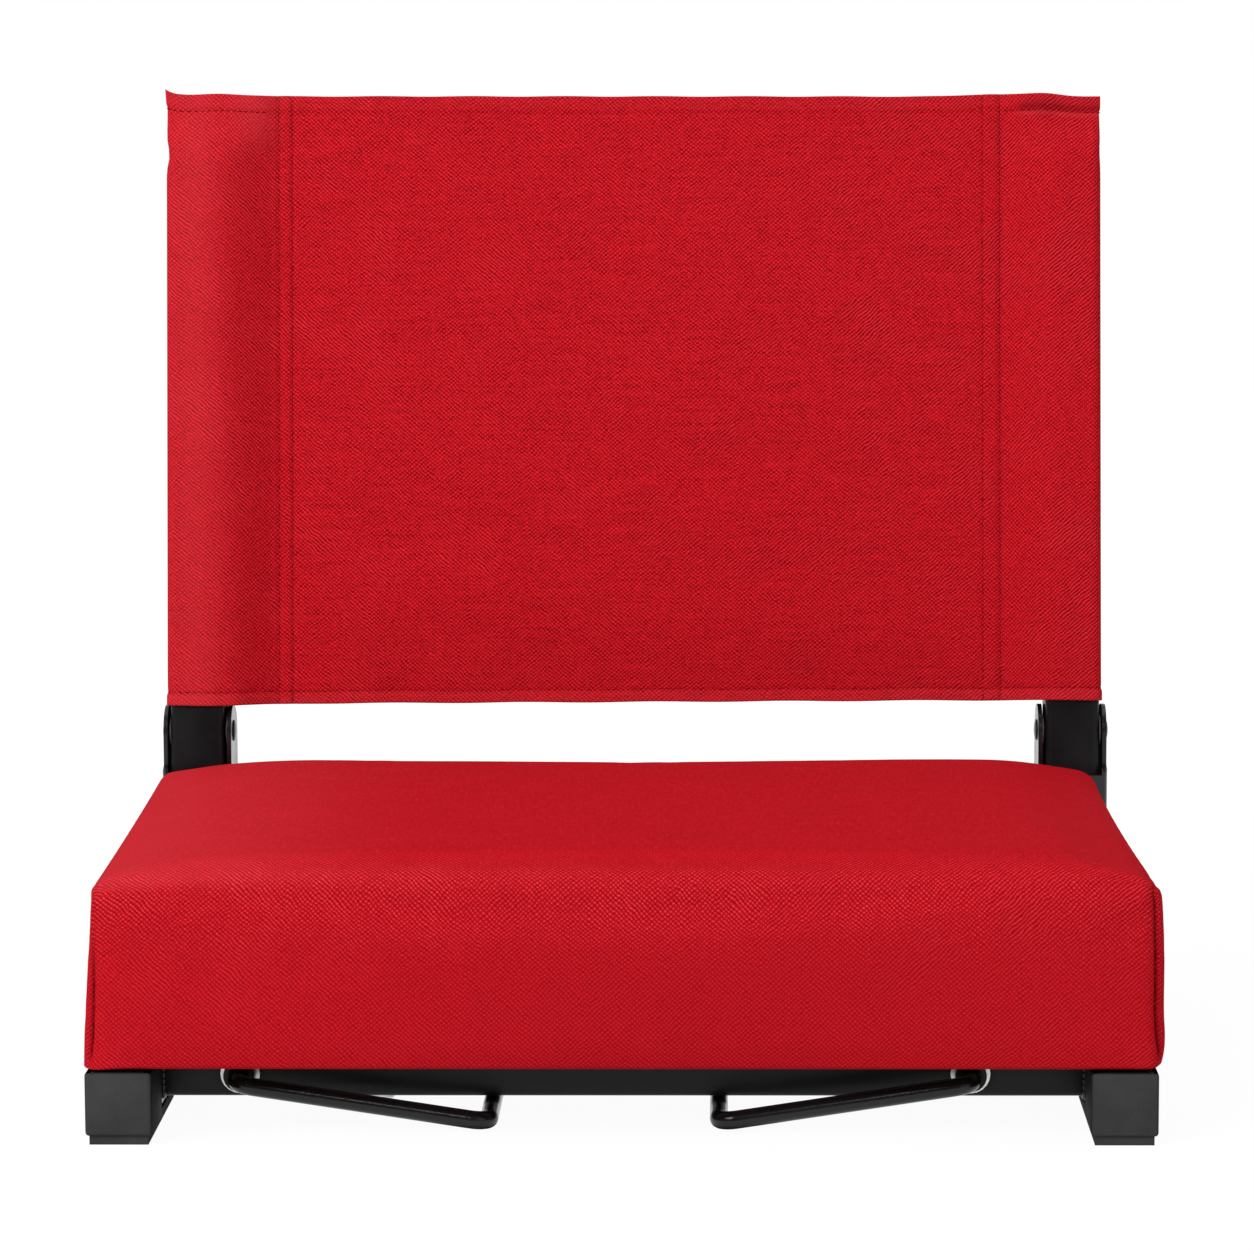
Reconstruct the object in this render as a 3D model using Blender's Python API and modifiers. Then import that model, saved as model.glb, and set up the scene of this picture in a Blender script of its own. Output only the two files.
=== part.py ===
"""Folding stadium chair: padded seat on a steel tube base, folding sling back, two swinging bench hooks.

Metres, +Z up. The front faces -Y, and the origin is on the floor under the middle of the base.
"""

import math

import bmesh
import bpy
from mathutils import Matrix

# Clearances
GAP = 0.0003
SOFT_GAP = 0.0005
ROD_CLEARANCE = 0.0003

# Square tubes of the rails and the back posts
TUBE_SIZE = 0.025
TUBE_WALL = 0.0015
TUBE_CORNER = 0.003
RAIL_INSET = 0.0149

# Cross tubes between the rails
CROSS_STEP = 0.005
CROSS_WALL = 0.0015
CROSS_CORNER = 0.002
FRONT_CROSS_SETBACK = 0.046
REAR_CROSS_INSET = 0.035

# Foot boots
BOOT_LENGTH = 0.037
BOOT_WALL = 0.0008
BOOT_FLOOR = 0.0011
BOOT_EDGE = 0.0016
BOOT_EDGE_SEGMENTS = 3
PLINTH_HEIGHT = 0.0036
PLINTH_INSET = 0.0016
PLINTH_LENGTH = 0.090

# Padded seat
SEAT_WIDTH = 0.437
SEAT_DEPTH = 0.2942
SEAT_HEIGHT = 0.0782
SEAT_TAPER = 0.0025
SEAT_CROWN = 0.0065
SEAT_CROWN_POWER = 8
SEAT_CROWN_FALL_SHARE = 0.1
SEAT_DRAW_IN = 0.0005
SEAT_TOP_EDGE = 0.011
SEAT_SIDE_EDGE = 0.009
SEAT_BOTTOM_EDGE = 0.003
COVER_THICKNESS = 0.0012
COVER_HEM = 0.030
BOARD_THICKNESS = 0.009
BOARD_MARGIN = 0.0015
BOARD_CORNER = 0.010

# Seat screws and tee nuts
SCREW_INSET = 0.1185
SCREW_DIAMETER = 0.005
SCREW_HEAD_DIAMETER = 0.010
SCREW_HEAD_HEIGHT = 0.003
SCREW_HEAD_CROWN_SHARE = 0.7
TEE_BARREL_WALL = 0.0012
TEE_FLANGE_DIAMETER = 0.017
TEE_FLANGE_THICKNESS = 0.0012

# Hinge brackets and their fasteners
SHEET = 0.002
SHEET_BEND = 0.001
SEAT_TO_BRACKET = 0.0010
BRACKET_TO_BOOT = 0.0015
PIVOT_HEIGHT = 0.124
EAR_RISE = 0.012
EAR_REAR = 0.0165
EAR_NECK = 0.0145
WEB_DROP = 0.0187
PIN_DIAMETER = 0.006
PIN_HEAD_DIAMETER = 0.010
PIN_HEAD_HEIGHT = 0.0011
HINGE_WASHER_DIAMETER = 0.014
HINGE_WASHER_THICKNESS = 0.0007
RIVET_DIAMETER = 0.0044
RIVET_HEAD_DIAMETER = 0.009
RIVET_HEAD_HEIGHT = 0.0022
RIVET_TAIL = 0.005
RIVET_PITCH = 0.014

# Backrest
RECLINE = math.radians(7.0)
POST_TAIL = 0.039
PLUG_HEAD = 0.0025
PLUG_INSERT = 0.010
EAR_TO_SLING = 0.0005
SLING_TOP = 0.296
SLING_HEM = 0.010
SLEEVE_SLACK = 0.0235
SLEEVE_FABRIC = 0.0007
SLEEVE_CORNER = 0.004
SLEEVE_SEAM = 0.052
PANEL_THICKNESS = 0.0016

# Bench hooks
ROD_DIAMETER = 0.0075
ROD_BEND = 0.007
ROD_FACETS = 4
HOOK_INSET = 0.0675
HOOK_SHIFT = -0.0075
HOOK_STANDOFF = 0.022
HOOK_REACH = 0.105
HOOK_LEG = 0.075
HOOK_FLOOR_GAP = 0.0005
HOOK_THREAD_END = 0.002
HOOK_WASHER_DIAMETER = 0.0165
HOOK_WASHER_THICKNESS = 0.0015
COLLAR_DIAMETER = 0.013
COLLAR_LENGTH = 0.005
NUT_ACROSS_FLATS = 0.013
NUT_LENGTH = 0.008

# Facets
ARC_STEPS = 4
ROUND_SEGMENTS = 20
CUSHION_COLUMNS = 10
CUSHION_ROWS = 6
CUSHION_LAYERS = 2
CUSHION_END_SHARE = 0.99
CUSHION_EDGE_SEGMENTS = 3
SMOOTH_METAL = 40
SMOOTH_DOME = 50
SMOOTH_SOFT = 60
SMOOTH_NUT = 30
WELD = 1e-5

# Sizes and positions that follow from those above
CROSS_SIZE = TUBE_SIZE - CROSS_STEP
POST_X = SEAT_WIDTH / 2 - RAIL_INSET
TUBE_HALF = TUBE_SIZE / 2
BRACKET_INNER = TUBE_HALF + HINGE_WASHER_THICKNESS + 2 * GAP
BRACKET_OUTER = BRACKET_INNER + SHEET
BRACKET_FRONT = TUBE_HALF * math.cos(RECLINE) + POST_TAIL * math.sin(RECLINE) + GAP + SHEET
BASE_DEPTH = SEAT_DEPTH + SEAT_TO_BRACKET + BRACKET_FRONT + EAR_REAR + BRACKET_TO_BOOT + BOOT_LENGTH
FRONT_Y = -BASE_DEPTH / 2
PIVOT_Y = FRONT_Y + SEAT_DEPTH + SEAT_TO_BRACKET + BRACKET_FRONT

RAIL_BOTTOM = PLINTH_HEIGHT + BOOT_FLOOR + GAP
RAIL_TOP = RAIL_BOTTOM + TUBE_SIZE
RAIL_LENGTH = BASE_DEPTH - 2 * (BOOT_WALL + GAP)
CROSS_Z = RAIL_TOP - CROSS_SIZE / 2
CROSS_LENGTH = 2 * (POST_X - TUBE_HALF - GAP)
FRONT_CROSS_Y = FRONT_Y + FRONT_CROSS_SETBACK + CROSS_SIZE / 2
REAR_CROSS_Y = FRONT_Y + SEAT_DEPTH - REAR_CROSS_INSET - CROSS_SIZE / 2

SEAT_BOTTOM = RAIL_TOP + GAP
SEAT_MID_Y = FRONT_Y + SEAT_DEPTH / 2
BOARD_BOTTOM = SEAT_BOTTOM + COVER_THICKNESS + GAP
BOARD_TOP = BOARD_BOTTOM + BOARD_THICKNESS
TEE_BORE = SCREW_DIAMETER + 2 * GAP
TEE_BARREL = TEE_BORE + 2 * TEE_BARREL_WALL
TEE_SEAT = BOARD_TOP - TEE_FLANGE_THICKNESS - 2 * GAP
SCREW_X = SEAT_WIDTH / 2 - SCREW_INSET
SCREW_PLACES = {
    "front_left": (-SCREW_X, FRONT_CROSS_Y),
    "front_right": (SCREW_X, FRONT_CROSS_Y),
    "rear_left": (-SCREW_X, REAR_CROSS_Y),
    "rear_right": (SCREW_X, REAR_CROSS_Y),
}

POST_FOOT = -POST_TAIL + PLUG_HEAD + GAP
SLING_BOTTOM = EAR_RISE + EAR_TO_SLING
SLEEVE_ROOF = SLING_TOP - SLING_HEM
POST_HEAD = SLEEVE_ROOF - SLEEVE_SLACK - PLUG_HEAD - GAP
SLEEVE_INNER = TUBE_HALF + GAP
SLEEVE_OUTER = SLEEVE_INNER + SLEEVE_FABRIC
HOOK_BORE = ROD_DIAMETER + 2 * ROD_CLEARANCE
ROD_RADIUS = ROD_DIAMETER / 2
HOOK_DROOP = math.asin((CROSS_Z - ROD_RADIUS - HOOK_FLOOR_GAP) / HOOK_REACH)

BLACK_STEEL = ("black_powder_coat", (0.012, 0.012, 0.013), 0.35, 0.4)
BOOT_PLASTIC = ("dark_grey_plastic", (0.050, 0.050, 0.051), 0.55, 0.0)
PLUG_PLASTIC = ("black_plastic", (0.020, 0.020, 0.021), 0.50, 0.0)
ZINC = ("zinc_plated_steel", (0.600, 0.600, 0.590), 0.30, 1.0)
NYLON = ("pale_nylon", (0.650, 0.650, 0.630), 0.45, 0.0)
RED_CLOTH = ("red_woven_polyester", (0.550, 0.014, 0.030), 0.85, 0.0)
FOAM = ("cream_foam", (0.750, 0.690, 0.500), 0.95, 0.0)
PLYWOOD = ("plywood", (0.520, 0.360, 0.200), 0.70, 0.0)


def clear_scene():
    """Remove whatever the scene holds."""
    for obj in list(bpy.data.objects):
        bpy.data.objects.remove(obj, do_unlink=True)


def new_collection(name):
    """A collection linked to the scene."""
    collection = bpy.data.collections.new(name)
    bpy.context.scene.collection.children.link(collection)
    return collection


def finish_of(spec):
    """The Principled material of this name, made on first use."""
    name, colour, roughness, metallic = spec
    found = bpy.data.materials.get(name)
    if found:
        return found
    made = bpy.data.materials.new(name)
    made.use_nodes = True
    shader = made.node_tree.nodes["Principled BSDF"]
    shader.inputs["Base Color"].default_value = (*colour, 1.0)
    shader.inputs["Roughness"].default_value = roughness
    shader.inputs["Metallic"].default_value = metallic
    return made


def mesh_object(name, mesh, collection, parent=None):
    """An object for the mesh, in the collection and under the parent."""
    obj = bpy.data.objects.new(name, mesh)
    collection.objects.link(obj)
    obj.parent = parent
    return obj


def node(name, mesh, finish, parent=None, smooth_angle=None):
    """A named piece of the chair with its material, shaded smooth below the angle if one is given."""
    mesh.materials.append(finish_of(finish))
    if smooth_angle is not None:
        mesh.shade_smooth()
        mesh.set_sharp_from_angle(angle=math.radians(smooth_angle))
    return mesh_object(name, mesh, PARTS, parent)


def boolean(target, name, mesh, operation="DIFFERENCE"):
    """Cut, join or trim the target with a helper mesh that shares the target's parent."""
    helper = mesh_object(f"{target.name}_{name}", mesh, CUTTERS, target.parent)
    helper.hide_render = True
    helper.display_type = "WIRE"
    modifier = target.modifiers.new(name, "BOOLEAN")
    modifier.operation = operation
    modifier.solver = "EXACT"
    modifier.object = helper


def joint_empty(name, location, rotation):
    """An empty on a joint's axis, which carries the pieces that turn about it."""
    empty = bpy.data.objects.new(name, None)
    empty.location = location
    empty.rotation_euler = rotation
    PARTS.objects.link(empty)
    return empty


def rounded(corners):
    """Outline through (x, y, radius) corners, each turned into an arc of that radius."""
    points = []
    count = len(corners)
    for index, (x, y, radius) in enumerate(corners):
        if radius == 0:
            points.append((x, y))
            continue
        before = corners[index - 1]
        after = corners[(index + 1) % count]
        back = math.atan2(before[1] - y, before[0] - x)
        ahead = math.atan2(after[1] - y, after[0] - x)
        turn = (ahead - back + math.pi) % (2 * math.pi) - math.pi
        reach = radius / abs(math.sin(turn / 2))
        middle = back + turn / 2
        centre_x = x + reach * math.cos(middle)
        centre_y = y + reach * math.sin(middle)
        sweep = math.copysign(math.pi - abs(turn), -turn)
        start = middle + math.pi - sweep / 2
        for step in range(ARC_STEPS + 1):
            angle = start + sweep * step / ARC_STEPS
            points.append((centre_x + radius * math.cos(angle), centre_y + radius * math.sin(angle)))
    return points


def square(half, radius):
    """Rounded square outline about the origin."""
    corners = [(-half, -half), (half, -half), (half, half), (-half, half)]
    return rounded([(x, y, radius) for x, y in corners])


def prism(loops, low, high):
    """Mesh of a flat outline with holes, drawn as a filled 2D curve and extruded from low to high along Z."""
    curve = bpy.data.curves.new("outline", "CURVE")
    curve.dimensions = "2D"
    curve.fill_mode = "BOTH"
    curve.extrude = (high - low) / 2
    for loop in loops:
        spline = curve.splines.new("POLY")
        spline.points.add(len(loop) - 1)
        spline.use_cyclic_u = True
        for point, (x, y) in zip(spline.points, loop):
            point.co = (x, y, 0.0, 1.0)
    guide = mesh_object("outline", curve, CUTTERS)
    bpy.context.view_layer.update()
    graph = bpy.context.evaluated_depsgraph_get()
    mesh = bpy.data.meshes.new_from_object(guide.evaluated_get(graph))
    bpy.data.objects.remove(guide, do_unlink=True)
    bpy.data.curves.remove(curve)
    work = bmesh.new()
    work.from_mesh(mesh)
    bmesh.ops.remove_doubles(work, verts=work.verts, dist=WELD)
    work.to_mesh(mesh)
    work.free()
    mesh.transform(Matrix.Translation((0, 0, (low + high) / 2)))
    return mesh


def box(low, high):
    """Mesh of a block between two corners."""
    mesh = bpy.data.meshes.new("block")
    work = bmesh.new()
    bmesh.ops.create_cube(work, size=1.0)
    size = [b - a for a, b in zip(low, high)]
    middle = [(a + b) / 2 for a, b in zip(low, high)]
    bmesh.ops.scale(work, verts=work.verts, vec=size)
    bmesh.ops.translate(work, verts=work.verts, vec=middle)
    work.to_mesh(mesh)
    work.free()
    return mesh


def drill(diameter, low, high):
    """Mesh of a cylinder along Z between two heights."""
    mesh = bpy.data.meshes.new("drill")
    work = bmesh.new()
    bmesh.ops.create_cone(
        work,
        cap_ends=True,
        segments=ROUND_SEGMENTS,
        radius1=diameter / 2,
        radius2=diameter / 2,
        depth=high - low,
    )
    bmesh.ops.translate(work, verts=work.verts, vec=(0, 0, (low + high) / 2))
    work.to_mesh(mesh)
    work.free()
    return mesh


def turned(profile, closed=False):
    """Mesh of a profile of (radius, height) points turned about Z, from top to bottom of its outer side."""
    edges = [(index, index + 1) for index in range(len(profile) - 1)]
    if closed:
        edges.append((len(profile) - 1, 0))
    outline = bpy.data.meshes.new("profile")
    outline.from_pydata([(radius, 0, height) for radius, height in profile], edges, [])
    guide = mesh_object("profile", outline, CUTTERS)
    screw = guide.modifiers.new("turn", "SCREW")
    screw.steps = ROUND_SEGMENTS
    screw.render_steps = ROUND_SEGMENTS
    screw.use_merge_vertices = True
    screw.merge_threshold = WELD
    screw.use_smooth_shade = True
    bpy.context.view_layer.update()
    graph = bpy.context.evaluated_depsgraph_get()
    mesh = bpy.data.meshes.new_from_object(guide.evaluated_get(graph))
    bpy.data.objects.remove(guide, do_unlink=True)
    bpy.data.meshes.remove(outline)
    return mesh


def ring(outer_diameter, bore, low, high):
    """Mesh of a flat ring about Z."""
    outer = outer_diameter / 2
    inner = bore / 2
    return turned([(outer, high), (outer, low), (inner, low), (inner, high)], closed=True)


def dome(diameter, height, base):
    """Points down the outer side of a domed head that stands on the base height."""
    points = []
    for step in range(ARC_STEPS + 1):
        angle = math.pi / 2 * step / ARC_STEPS
        points.append((diameter / 2 * math.sin(angle), base + height * math.cos(angle)))
    return points


def joined(meshes):
    """One mesh that holds several separate solids."""
    work = bmesh.new()
    for mesh in meshes:
        work.from_mesh(mesh)
        bpy.data.meshes.remove(mesh)
    whole = bpy.data.meshes.new("group")
    work.to_mesh(whole)
    work.free()
    return whole


def moved(mesh, x=0.0, y=0.0, z=0.0):
    """The mesh after a shift."""
    mesh.transform(Matrix.Translation((x, y, z)))
    return mesh


def turned_to_x(mesh):
    """The mesh with its Z axis laid along X."""
    mesh.transform(Matrix.Rotation(math.pi / 2, 4, "Y"))
    return mesh


def turned_to_y(mesh):
    """The mesh with its Z axis laid along -Y, so that its X stays and its Y points up."""
    mesh.transform(Matrix.Rotation(math.pi / 2, 4, "X"))
    return mesh


def side_name(side):
    """left for -1, right for 1, as seen from the front."""
    return "left" if side < 0 else "right"


def make_rail(side):
    """Square tube from front boot to rear boot, drilled for the bracket's rivets."""
    half_length = RAIL_LENGTH / 2
    tube = prism(
        [square(TUBE_HALF, TUBE_CORNER), square(TUBE_HALF - TUBE_WALL, TUBE_CORNER - TUBE_WALL)],
        -half_length,
        half_length,
    )
    turned_to_y(tube)
    moved(tube, side * POST_X, 0, RAIL_BOTTOM + TUBE_HALF)
    rail = node(f"{side_name(side)}_base_rail", tube, BLACK_STEEL, smooth_angle=SMOOTH_METAL)
    boolean(rail, "rivet_holes", rivet_drills(side, RAIL_TOP - 2 * TUBE_WALL, RAIL_TOP + TUBE_WALL))


def rivet_places(side):
    """Where the bracket's front and rear rivets stand on the rail."""
    middle = PIVOT_Y + (EAR_REAR - BRACKET_FRONT + SHEET) / 2
    x = side * POST_X
    return {"front": (x, middle - RIVET_PITCH / 2), "rear": (x, middle + RIVET_PITCH / 2)}


def rivet_drills(side, low, high):
    """Drills for the bracket's two rivets."""
    bore = RIVET_DIAMETER + 2 * GAP
    return joined([moved(drill(bore, low, high), x, y) for x, y in rivet_places(side).values()])


def make_boot(side, end):
    """Push-on foot: a tray round the rail's end, open on top where the seat lies, on a narrower plinth that runs
    on under the rail."""
    half_width = TUBE_HALF + GAP + BOOT_WALL
    tip = BASE_DEPTH / 2
    outer = box((-half_width, tip - BOOT_LENGTH, PLINTH_HEIGHT), (half_width, tip, RAIL_TOP))
    turn = Matrix.Rotation(math.pi if end == "front" else 0.0, 4, "Z")
    place = Matrix.Translation((side * POST_X, 0, 0)) @ turn
    outer.transform(place)
    boot = node(f"{end}_{side_name(side)}_foot_boot", outer, BOOT_PLASTIC)
    edges = boot.modifiers.new("soft_edges", "BEVEL")
    edges.width = BOOT_EDGE
    edges.segments = BOOT_EDGE_SEGMENTS
    room = TUBE_HALF + GAP
    hollow = box(
        (-room, tip - BOOT_LENGTH - BOOT_WALL, RAIL_BOTTOM - GAP),
        (room, tip - BOOT_WALL, RAIL_TOP + BOOT_FLOOR),
    )
    hollow.transform(place)
    boolean(boot, "rail_socket", hollow)
    inset_half = half_width - PLINTH_INSET
    plinth = box(
        (-inset_half, tip - PLINTH_LENGTH, 0.0),
        (inset_half, tip - PLINTH_INSET, RAIL_BOTTOM - 2 * GAP),
    )
    plinth.transform(place)
    boolean(boot, "plinth", plinth, "UNION")


def make_cross_tube(name, middle_y, with_hooks):
    """Square tube between the rails, drilled for the seat screws and, in front, for the hooks."""
    half = CROSS_SIZE / 2
    tube = prism(
        [square(half, CROSS_CORNER), square(half - CROSS_WALL, CROSS_CORNER - CROSS_WALL)],
        -CROSS_LENGTH / 2,
        CROSS_LENGTH / 2,
    )
    moved(turned_to_x(tube), 0, middle_y, CROSS_Z)
    cross = node(name, tube, BLACK_STEEL, smooth_angle=SMOOTH_METAL)
    screw_bore = SCREW_DIAMETER + 2 * GAP
    reach = CROSS_SIZE
    places = [(x, y) for x, y in SCREW_PLACES.values() if y == middle_y]
    drills = [moved(drill(screw_bore, CROSS_Z - reach, CROSS_Z + reach), x, y) for x, y in places]
    boolean(cross, "screw_holes", joined(drills))
    if with_hooks:
        bores = []
        for side in (-1, 1):
            bore = turned_to_y(drill(HOOK_BORE, -reach, reach))
            bores.append(moved(bore, hook_x(side), middle_y, CROSS_Z))
        boolean(cross, "hook_holes", joined(bores))


def cushion_point(a, b, level, inset, low):
    """A point of the seat's form from three shares: across, back and up. The top is crowned, more across than
    back, the width tapers upwards, and the sides draw in between the corners. The inset makes the smaller
    forms inside it."""
    crown = SEAT_CROWN * (1 - a**SEAT_CROWN_POWER) * (1 - SEAT_CROWN_FALL_SHARE * b * b)
    top = SEAT_BOTTOM + SEAT_HEIGHT + crown - inset
    z = low + level * (top - low)
    rise = (z - SEAT_BOTTOM) / SEAT_HEIGHT
    half_width = SEAT_WIDTH / 2 - SEAT_TAPER * rise - SEAT_DRAW_IN * rise * (1 - b * b) - inset
    half_depth = SEAT_DEPTH / 2 - SEAT_DRAW_IN * rise * (1 - a * a) - inset
    return (a * half_width, SEAT_MID_Y + b * half_depth, z)


def cushion_mesh(inset, low, hem=0.0):
    """Grid box bent to the seat's form, with bevel weights on its edges. With a hem it is open inside it."""
    work = bmesh.new()
    bmesh.ops.create_cube(work, size=2.0)
    cuts = [(0, -1 + 2 * i / CUSHION_COLUMNS) for i in range(1, CUSHION_COLUMNS)]
    cuts += [(1, -1 + 2 * i / CUSHION_ROWS) for i in range(1, CUSHION_ROWS)]
    cuts += [(2, -1 + 2 * i / CUSHION_LAYERS) for i in range(1, CUSHION_LAYERS)]
    hem_a = 1 - hem / (SEAT_WIDTH / 2 - inset)
    hem_b = 1 - hem / (SEAT_DEPTH / 2 - inset)
    if hem:
        cuts += [(0, -hem_a), (0, hem_a), (1, -hem_b), (1, hem_b)]
    for axis, place in cuts:
        normal = [float(axis == i) for i in range(3)]
        spot = [place * part for part in normal]
        whole = work.verts[:] + work.edges[:] + work.faces[:]
        bmesh.ops.bisect_plane(work, geom=whole, plane_co=spot, plane_no=normal)
    weights = work.edges.layers.float.new("bevel_weight_edge")
    for edge in work.edges:
        if edge.calc_face_angle() < math.pi / 4:
            continue
        heights = [vert.co.z for vert in edge.verts]
        if min(heights) > CUSHION_END_SHARE:
            edge[weights] = 1.0
        elif max(heights) < -CUSHION_END_SHARE:
            edge[weights] = (SEAT_BOTTOM_EDGE - inset) / (SEAT_TOP_EDGE - inset) if hem else 0.0
        else:
            edge[weights] = (SEAT_SIDE_EDGE - inset) / (SEAT_TOP_EDGE - inset)
    if hem:
        opening = [
            face
            for face in work.faces
            if face.normal.z < -CUSHION_END_SHARE
            and abs(face.calc_center_median().x) < hem_a
            and abs(face.calc_center_median().y) < hem_b
        ]
        bmesh.ops.delete(work, geom=opening, context="FACES")
    for vert in work.verts:
        a, b, c = vert.co
        vert.co = cushion_point(a, b, (c + 1) / 2, inset, low)
    mesh = bpy.data.meshes.new("cushion")
    work.to_mesh(mesh)
    work.free()
    return mesh


def round_cushion(obj, inset):
    """Round the seat form's edges by their weights."""
    edges = obj.modifiers.new("soft_edges", "BEVEL")
    edges.limit_method = "WEIGHT"
    edges.width = SEAT_TOP_EDGE - inset
    edges.segments = CUSHION_EDGE_SEGMENTS


def make_seat():
    """Plywood board, foam block and the woven cover that wraps both and turns under the board."""
    cover = node("seat_cover", cushion_mesh(0.0, SEAT_BOTTOM, COVER_HEM), RED_CLOTH, smooth_angle=SMOOTH_SOFT)
    round_cushion(cover, 0.0)
    cloth = cover.modifiers.new("cloth", "SOLIDIFY")
    cloth.thickness = COVER_THICKNESS
    cloth.offset = -1.0
    cloth.use_even_offset = True

    inset = COVER_THICKNESS + SOFT_GAP
    foam = node("seat_foam", cushion_mesh(inset, BOARD_TOP + GAP), FOAM, smooth_angle=SMOOTH_SOFT)
    round_cushion(foam, inset)

    board_inset = COVER_THICKNESS + BOARD_MARGIN
    rise = (BOARD_TOP - SEAT_BOTTOM) / SEAT_HEIGHT
    half_x = SEAT_WIDTH / 2 - (SEAT_TAPER + SEAT_DRAW_IN) * rise - board_inset
    half_y = SEAT_DEPTH / 2 - SEAT_DRAW_IN * rise - board_inset
    outline = rounded(
        [
            (-half_x, SEAT_MID_Y - half_y, BOARD_CORNER),
            (half_x, SEAT_MID_Y - half_y, BOARD_CORNER),
            (half_x, SEAT_MID_Y + half_y, BOARD_CORNER),
            (-half_x, SEAT_MID_Y + half_y, BOARD_CORNER),
        ]
    )
    board = node("seat_board", prism([outline], BOARD_BOTTOM, BOARD_TOP), PLYWOOD)
    barrel = TEE_BARREL + 2 * GAP
    reach = BOARD_THICKNESS
    places = SCREW_PLACES.values()
    barrel_drills = [moved(drill(barrel, BOARD_BOTTOM - reach, BOARD_TOP + reach), x, y) for x, y in places]
    boolean(board, "barrel_holes", joined(barrel_drills))
    flange = TEE_FLANGE_DIAMETER + 2 * GAP
    flange_drills = [moved(drill(flange, TEE_SEAT, BOARD_TOP + reach), x, y) for x, y in places]
    boolean(board, "flange_seats", joined(flange_drills))


def make_seat_fasteners():
    """Four pan head screws up through the cross tubes, and the flanged tee nuts that they turn into."""
    head_top = CROSS_Z - CROSS_SIZE / 2 - GAP
    head = SCREW_HEAD_DIAMETER / 2
    shank = SCREW_DIAMETER / 2
    tip = TEE_SEAT + GAP
    screw = [
        (0.0, tip),
        (shank, tip),
        (shank, head_top),
        (head, head_top),
        (head, head_top - SCREW_HEAD_HEIGHT / 2),
        (head * SCREW_HEAD_CROWN_SHARE, head_top - SCREW_HEAD_HEIGHT),
        (0.0, head_top - SCREW_HEAD_HEIGHT),
    ]
    flange_low = TEE_SEAT + GAP
    flange_high = flange_low + TEE_FLANGE_THICKNESS
    flange = TEE_FLANGE_DIAMETER / 2
    barrel = TEE_BARREL / 2
    bore = TEE_BORE / 2
    nut = [
        (bore, flange_high),
        (flange, flange_high),
        (flange, flange_low),
        (barrel, flange_low),
        (barrel, BOARD_BOTTOM),
        (bore, BOARD_BOTTOM),
    ]
    for place, (x, y) in SCREW_PLACES.items():
        node(f"{place}_seat_screw", moved(turned(screw), x, y), ZINC, smooth_angle=SMOOTH_METAL)
        node(f"{place}_tee_nut", moved(turned(nut, closed=True), x, y), ZINC, smooth_angle=SMOOTH_METAL)


def make_bracket(side):
    """Folded channel: a web in front that stops the post, two ears that hold the hinge pin, and a base plate
    riveted to the rail. The ears are rounded about the pin in front, where the back's sleeve swings past."""
    low = RAIL_TOP + GAP
    high = PIVOT_HEIGHT + EAR_RISE
    bend = SHEET + SHEET_BEND
    channel = rounded(
        [
            (-BRACKET_OUTER, EAR_REAR, 0),
            (-BRACKET_OUTER, -BRACKET_FRONT, bend),
            (BRACKET_OUTER, -BRACKET_FRONT, bend),
            (BRACKET_OUTER, EAR_REAR, 0),
            (BRACKET_INNER, EAR_REAR, 0),
            (BRACKET_INNER, -BRACKET_FRONT + SHEET, SHEET_BEND),
            (-BRACKET_INNER, -BRACKET_FRONT + SHEET, SHEET_BEND),
            (-BRACKET_INNER, EAR_REAR, 0),
        ]
    )
    body = moved(prism([channel], low, high + SHEET), side * POST_X, PIVOT_Y)
    bracket = node(f"{side_name(side)}_hinge_bracket", body, BLACK_STEEL)

    steps = 4 * ARC_STEPS
    arch = []
    for step in range(steps + 1):
        angle = math.pi * step / steps
        semi_depth = EAR_REAR if 2 * step < steps else EAR_RISE
        arch.append((semi_depth * math.cos(angle), PIVOT_HEIGHT + EAR_RISE * math.sin(angle)))
    neck = [(-EAR_RISE, PIVOT_HEIGHT - EAR_NECK), (-BRACKET_FRONT, PIVOT_HEIGHT - WEB_DROP + SHEET_BEND)]
    ear_side = [(-BRACKET_FRONT, low - SHEET), (EAR_REAR, low - SHEET), *arch, *neck]
    trim = prism([ear_side], -BRACKET_OUTER - SHEET, BRACKET_OUTER + SHEET)
    trim.transform(Matrix(((0, 0, 1, 0), (1, 0, 0, 0), (0, 1, 0, 0), (0, 0, 0, 1))))
    boolean(bracket, "ear_outline", moved(trim, side * POST_X, PIVOT_Y), "INTERSECT")

    window = box(
        (-BRACKET_INNER, -BRACKET_FRONT - SHEET, PIVOT_HEIGHT - WEB_DROP),
        (BRACKET_INNER, -BRACKET_FRONT + 2 * SHEET, high + 2 * SHEET),
    )
    boolean(bracket, "web_window", moved(window, side * POST_X, PIVOT_Y))

    half_plate = BRACKET_INNER + SHEET / 2
    plate = box((-half_plate, -BRACKET_FRONT + SHEET / 2, low), (half_plate, EAR_REAR - SHEET, low + SHEET))
    boolean(bracket, "base_plate", moved(plate, side * POST_X, PIVOT_Y), "UNION")
    boolean(bracket, "rivet_holes", rivet_drills(side, low - SHEET, low + 2 * SHEET))
    bore = turned_to_x(drill(PIN_DIAMETER + 2 * GAP, -2 * BRACKET_OUTER, 2 * BRACKET_OUTER))
    boolean(bracket, "pin_hole", moved(bore, side * POST_X, PIVOT_Y, PIVOT_HEIGHT))


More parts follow.
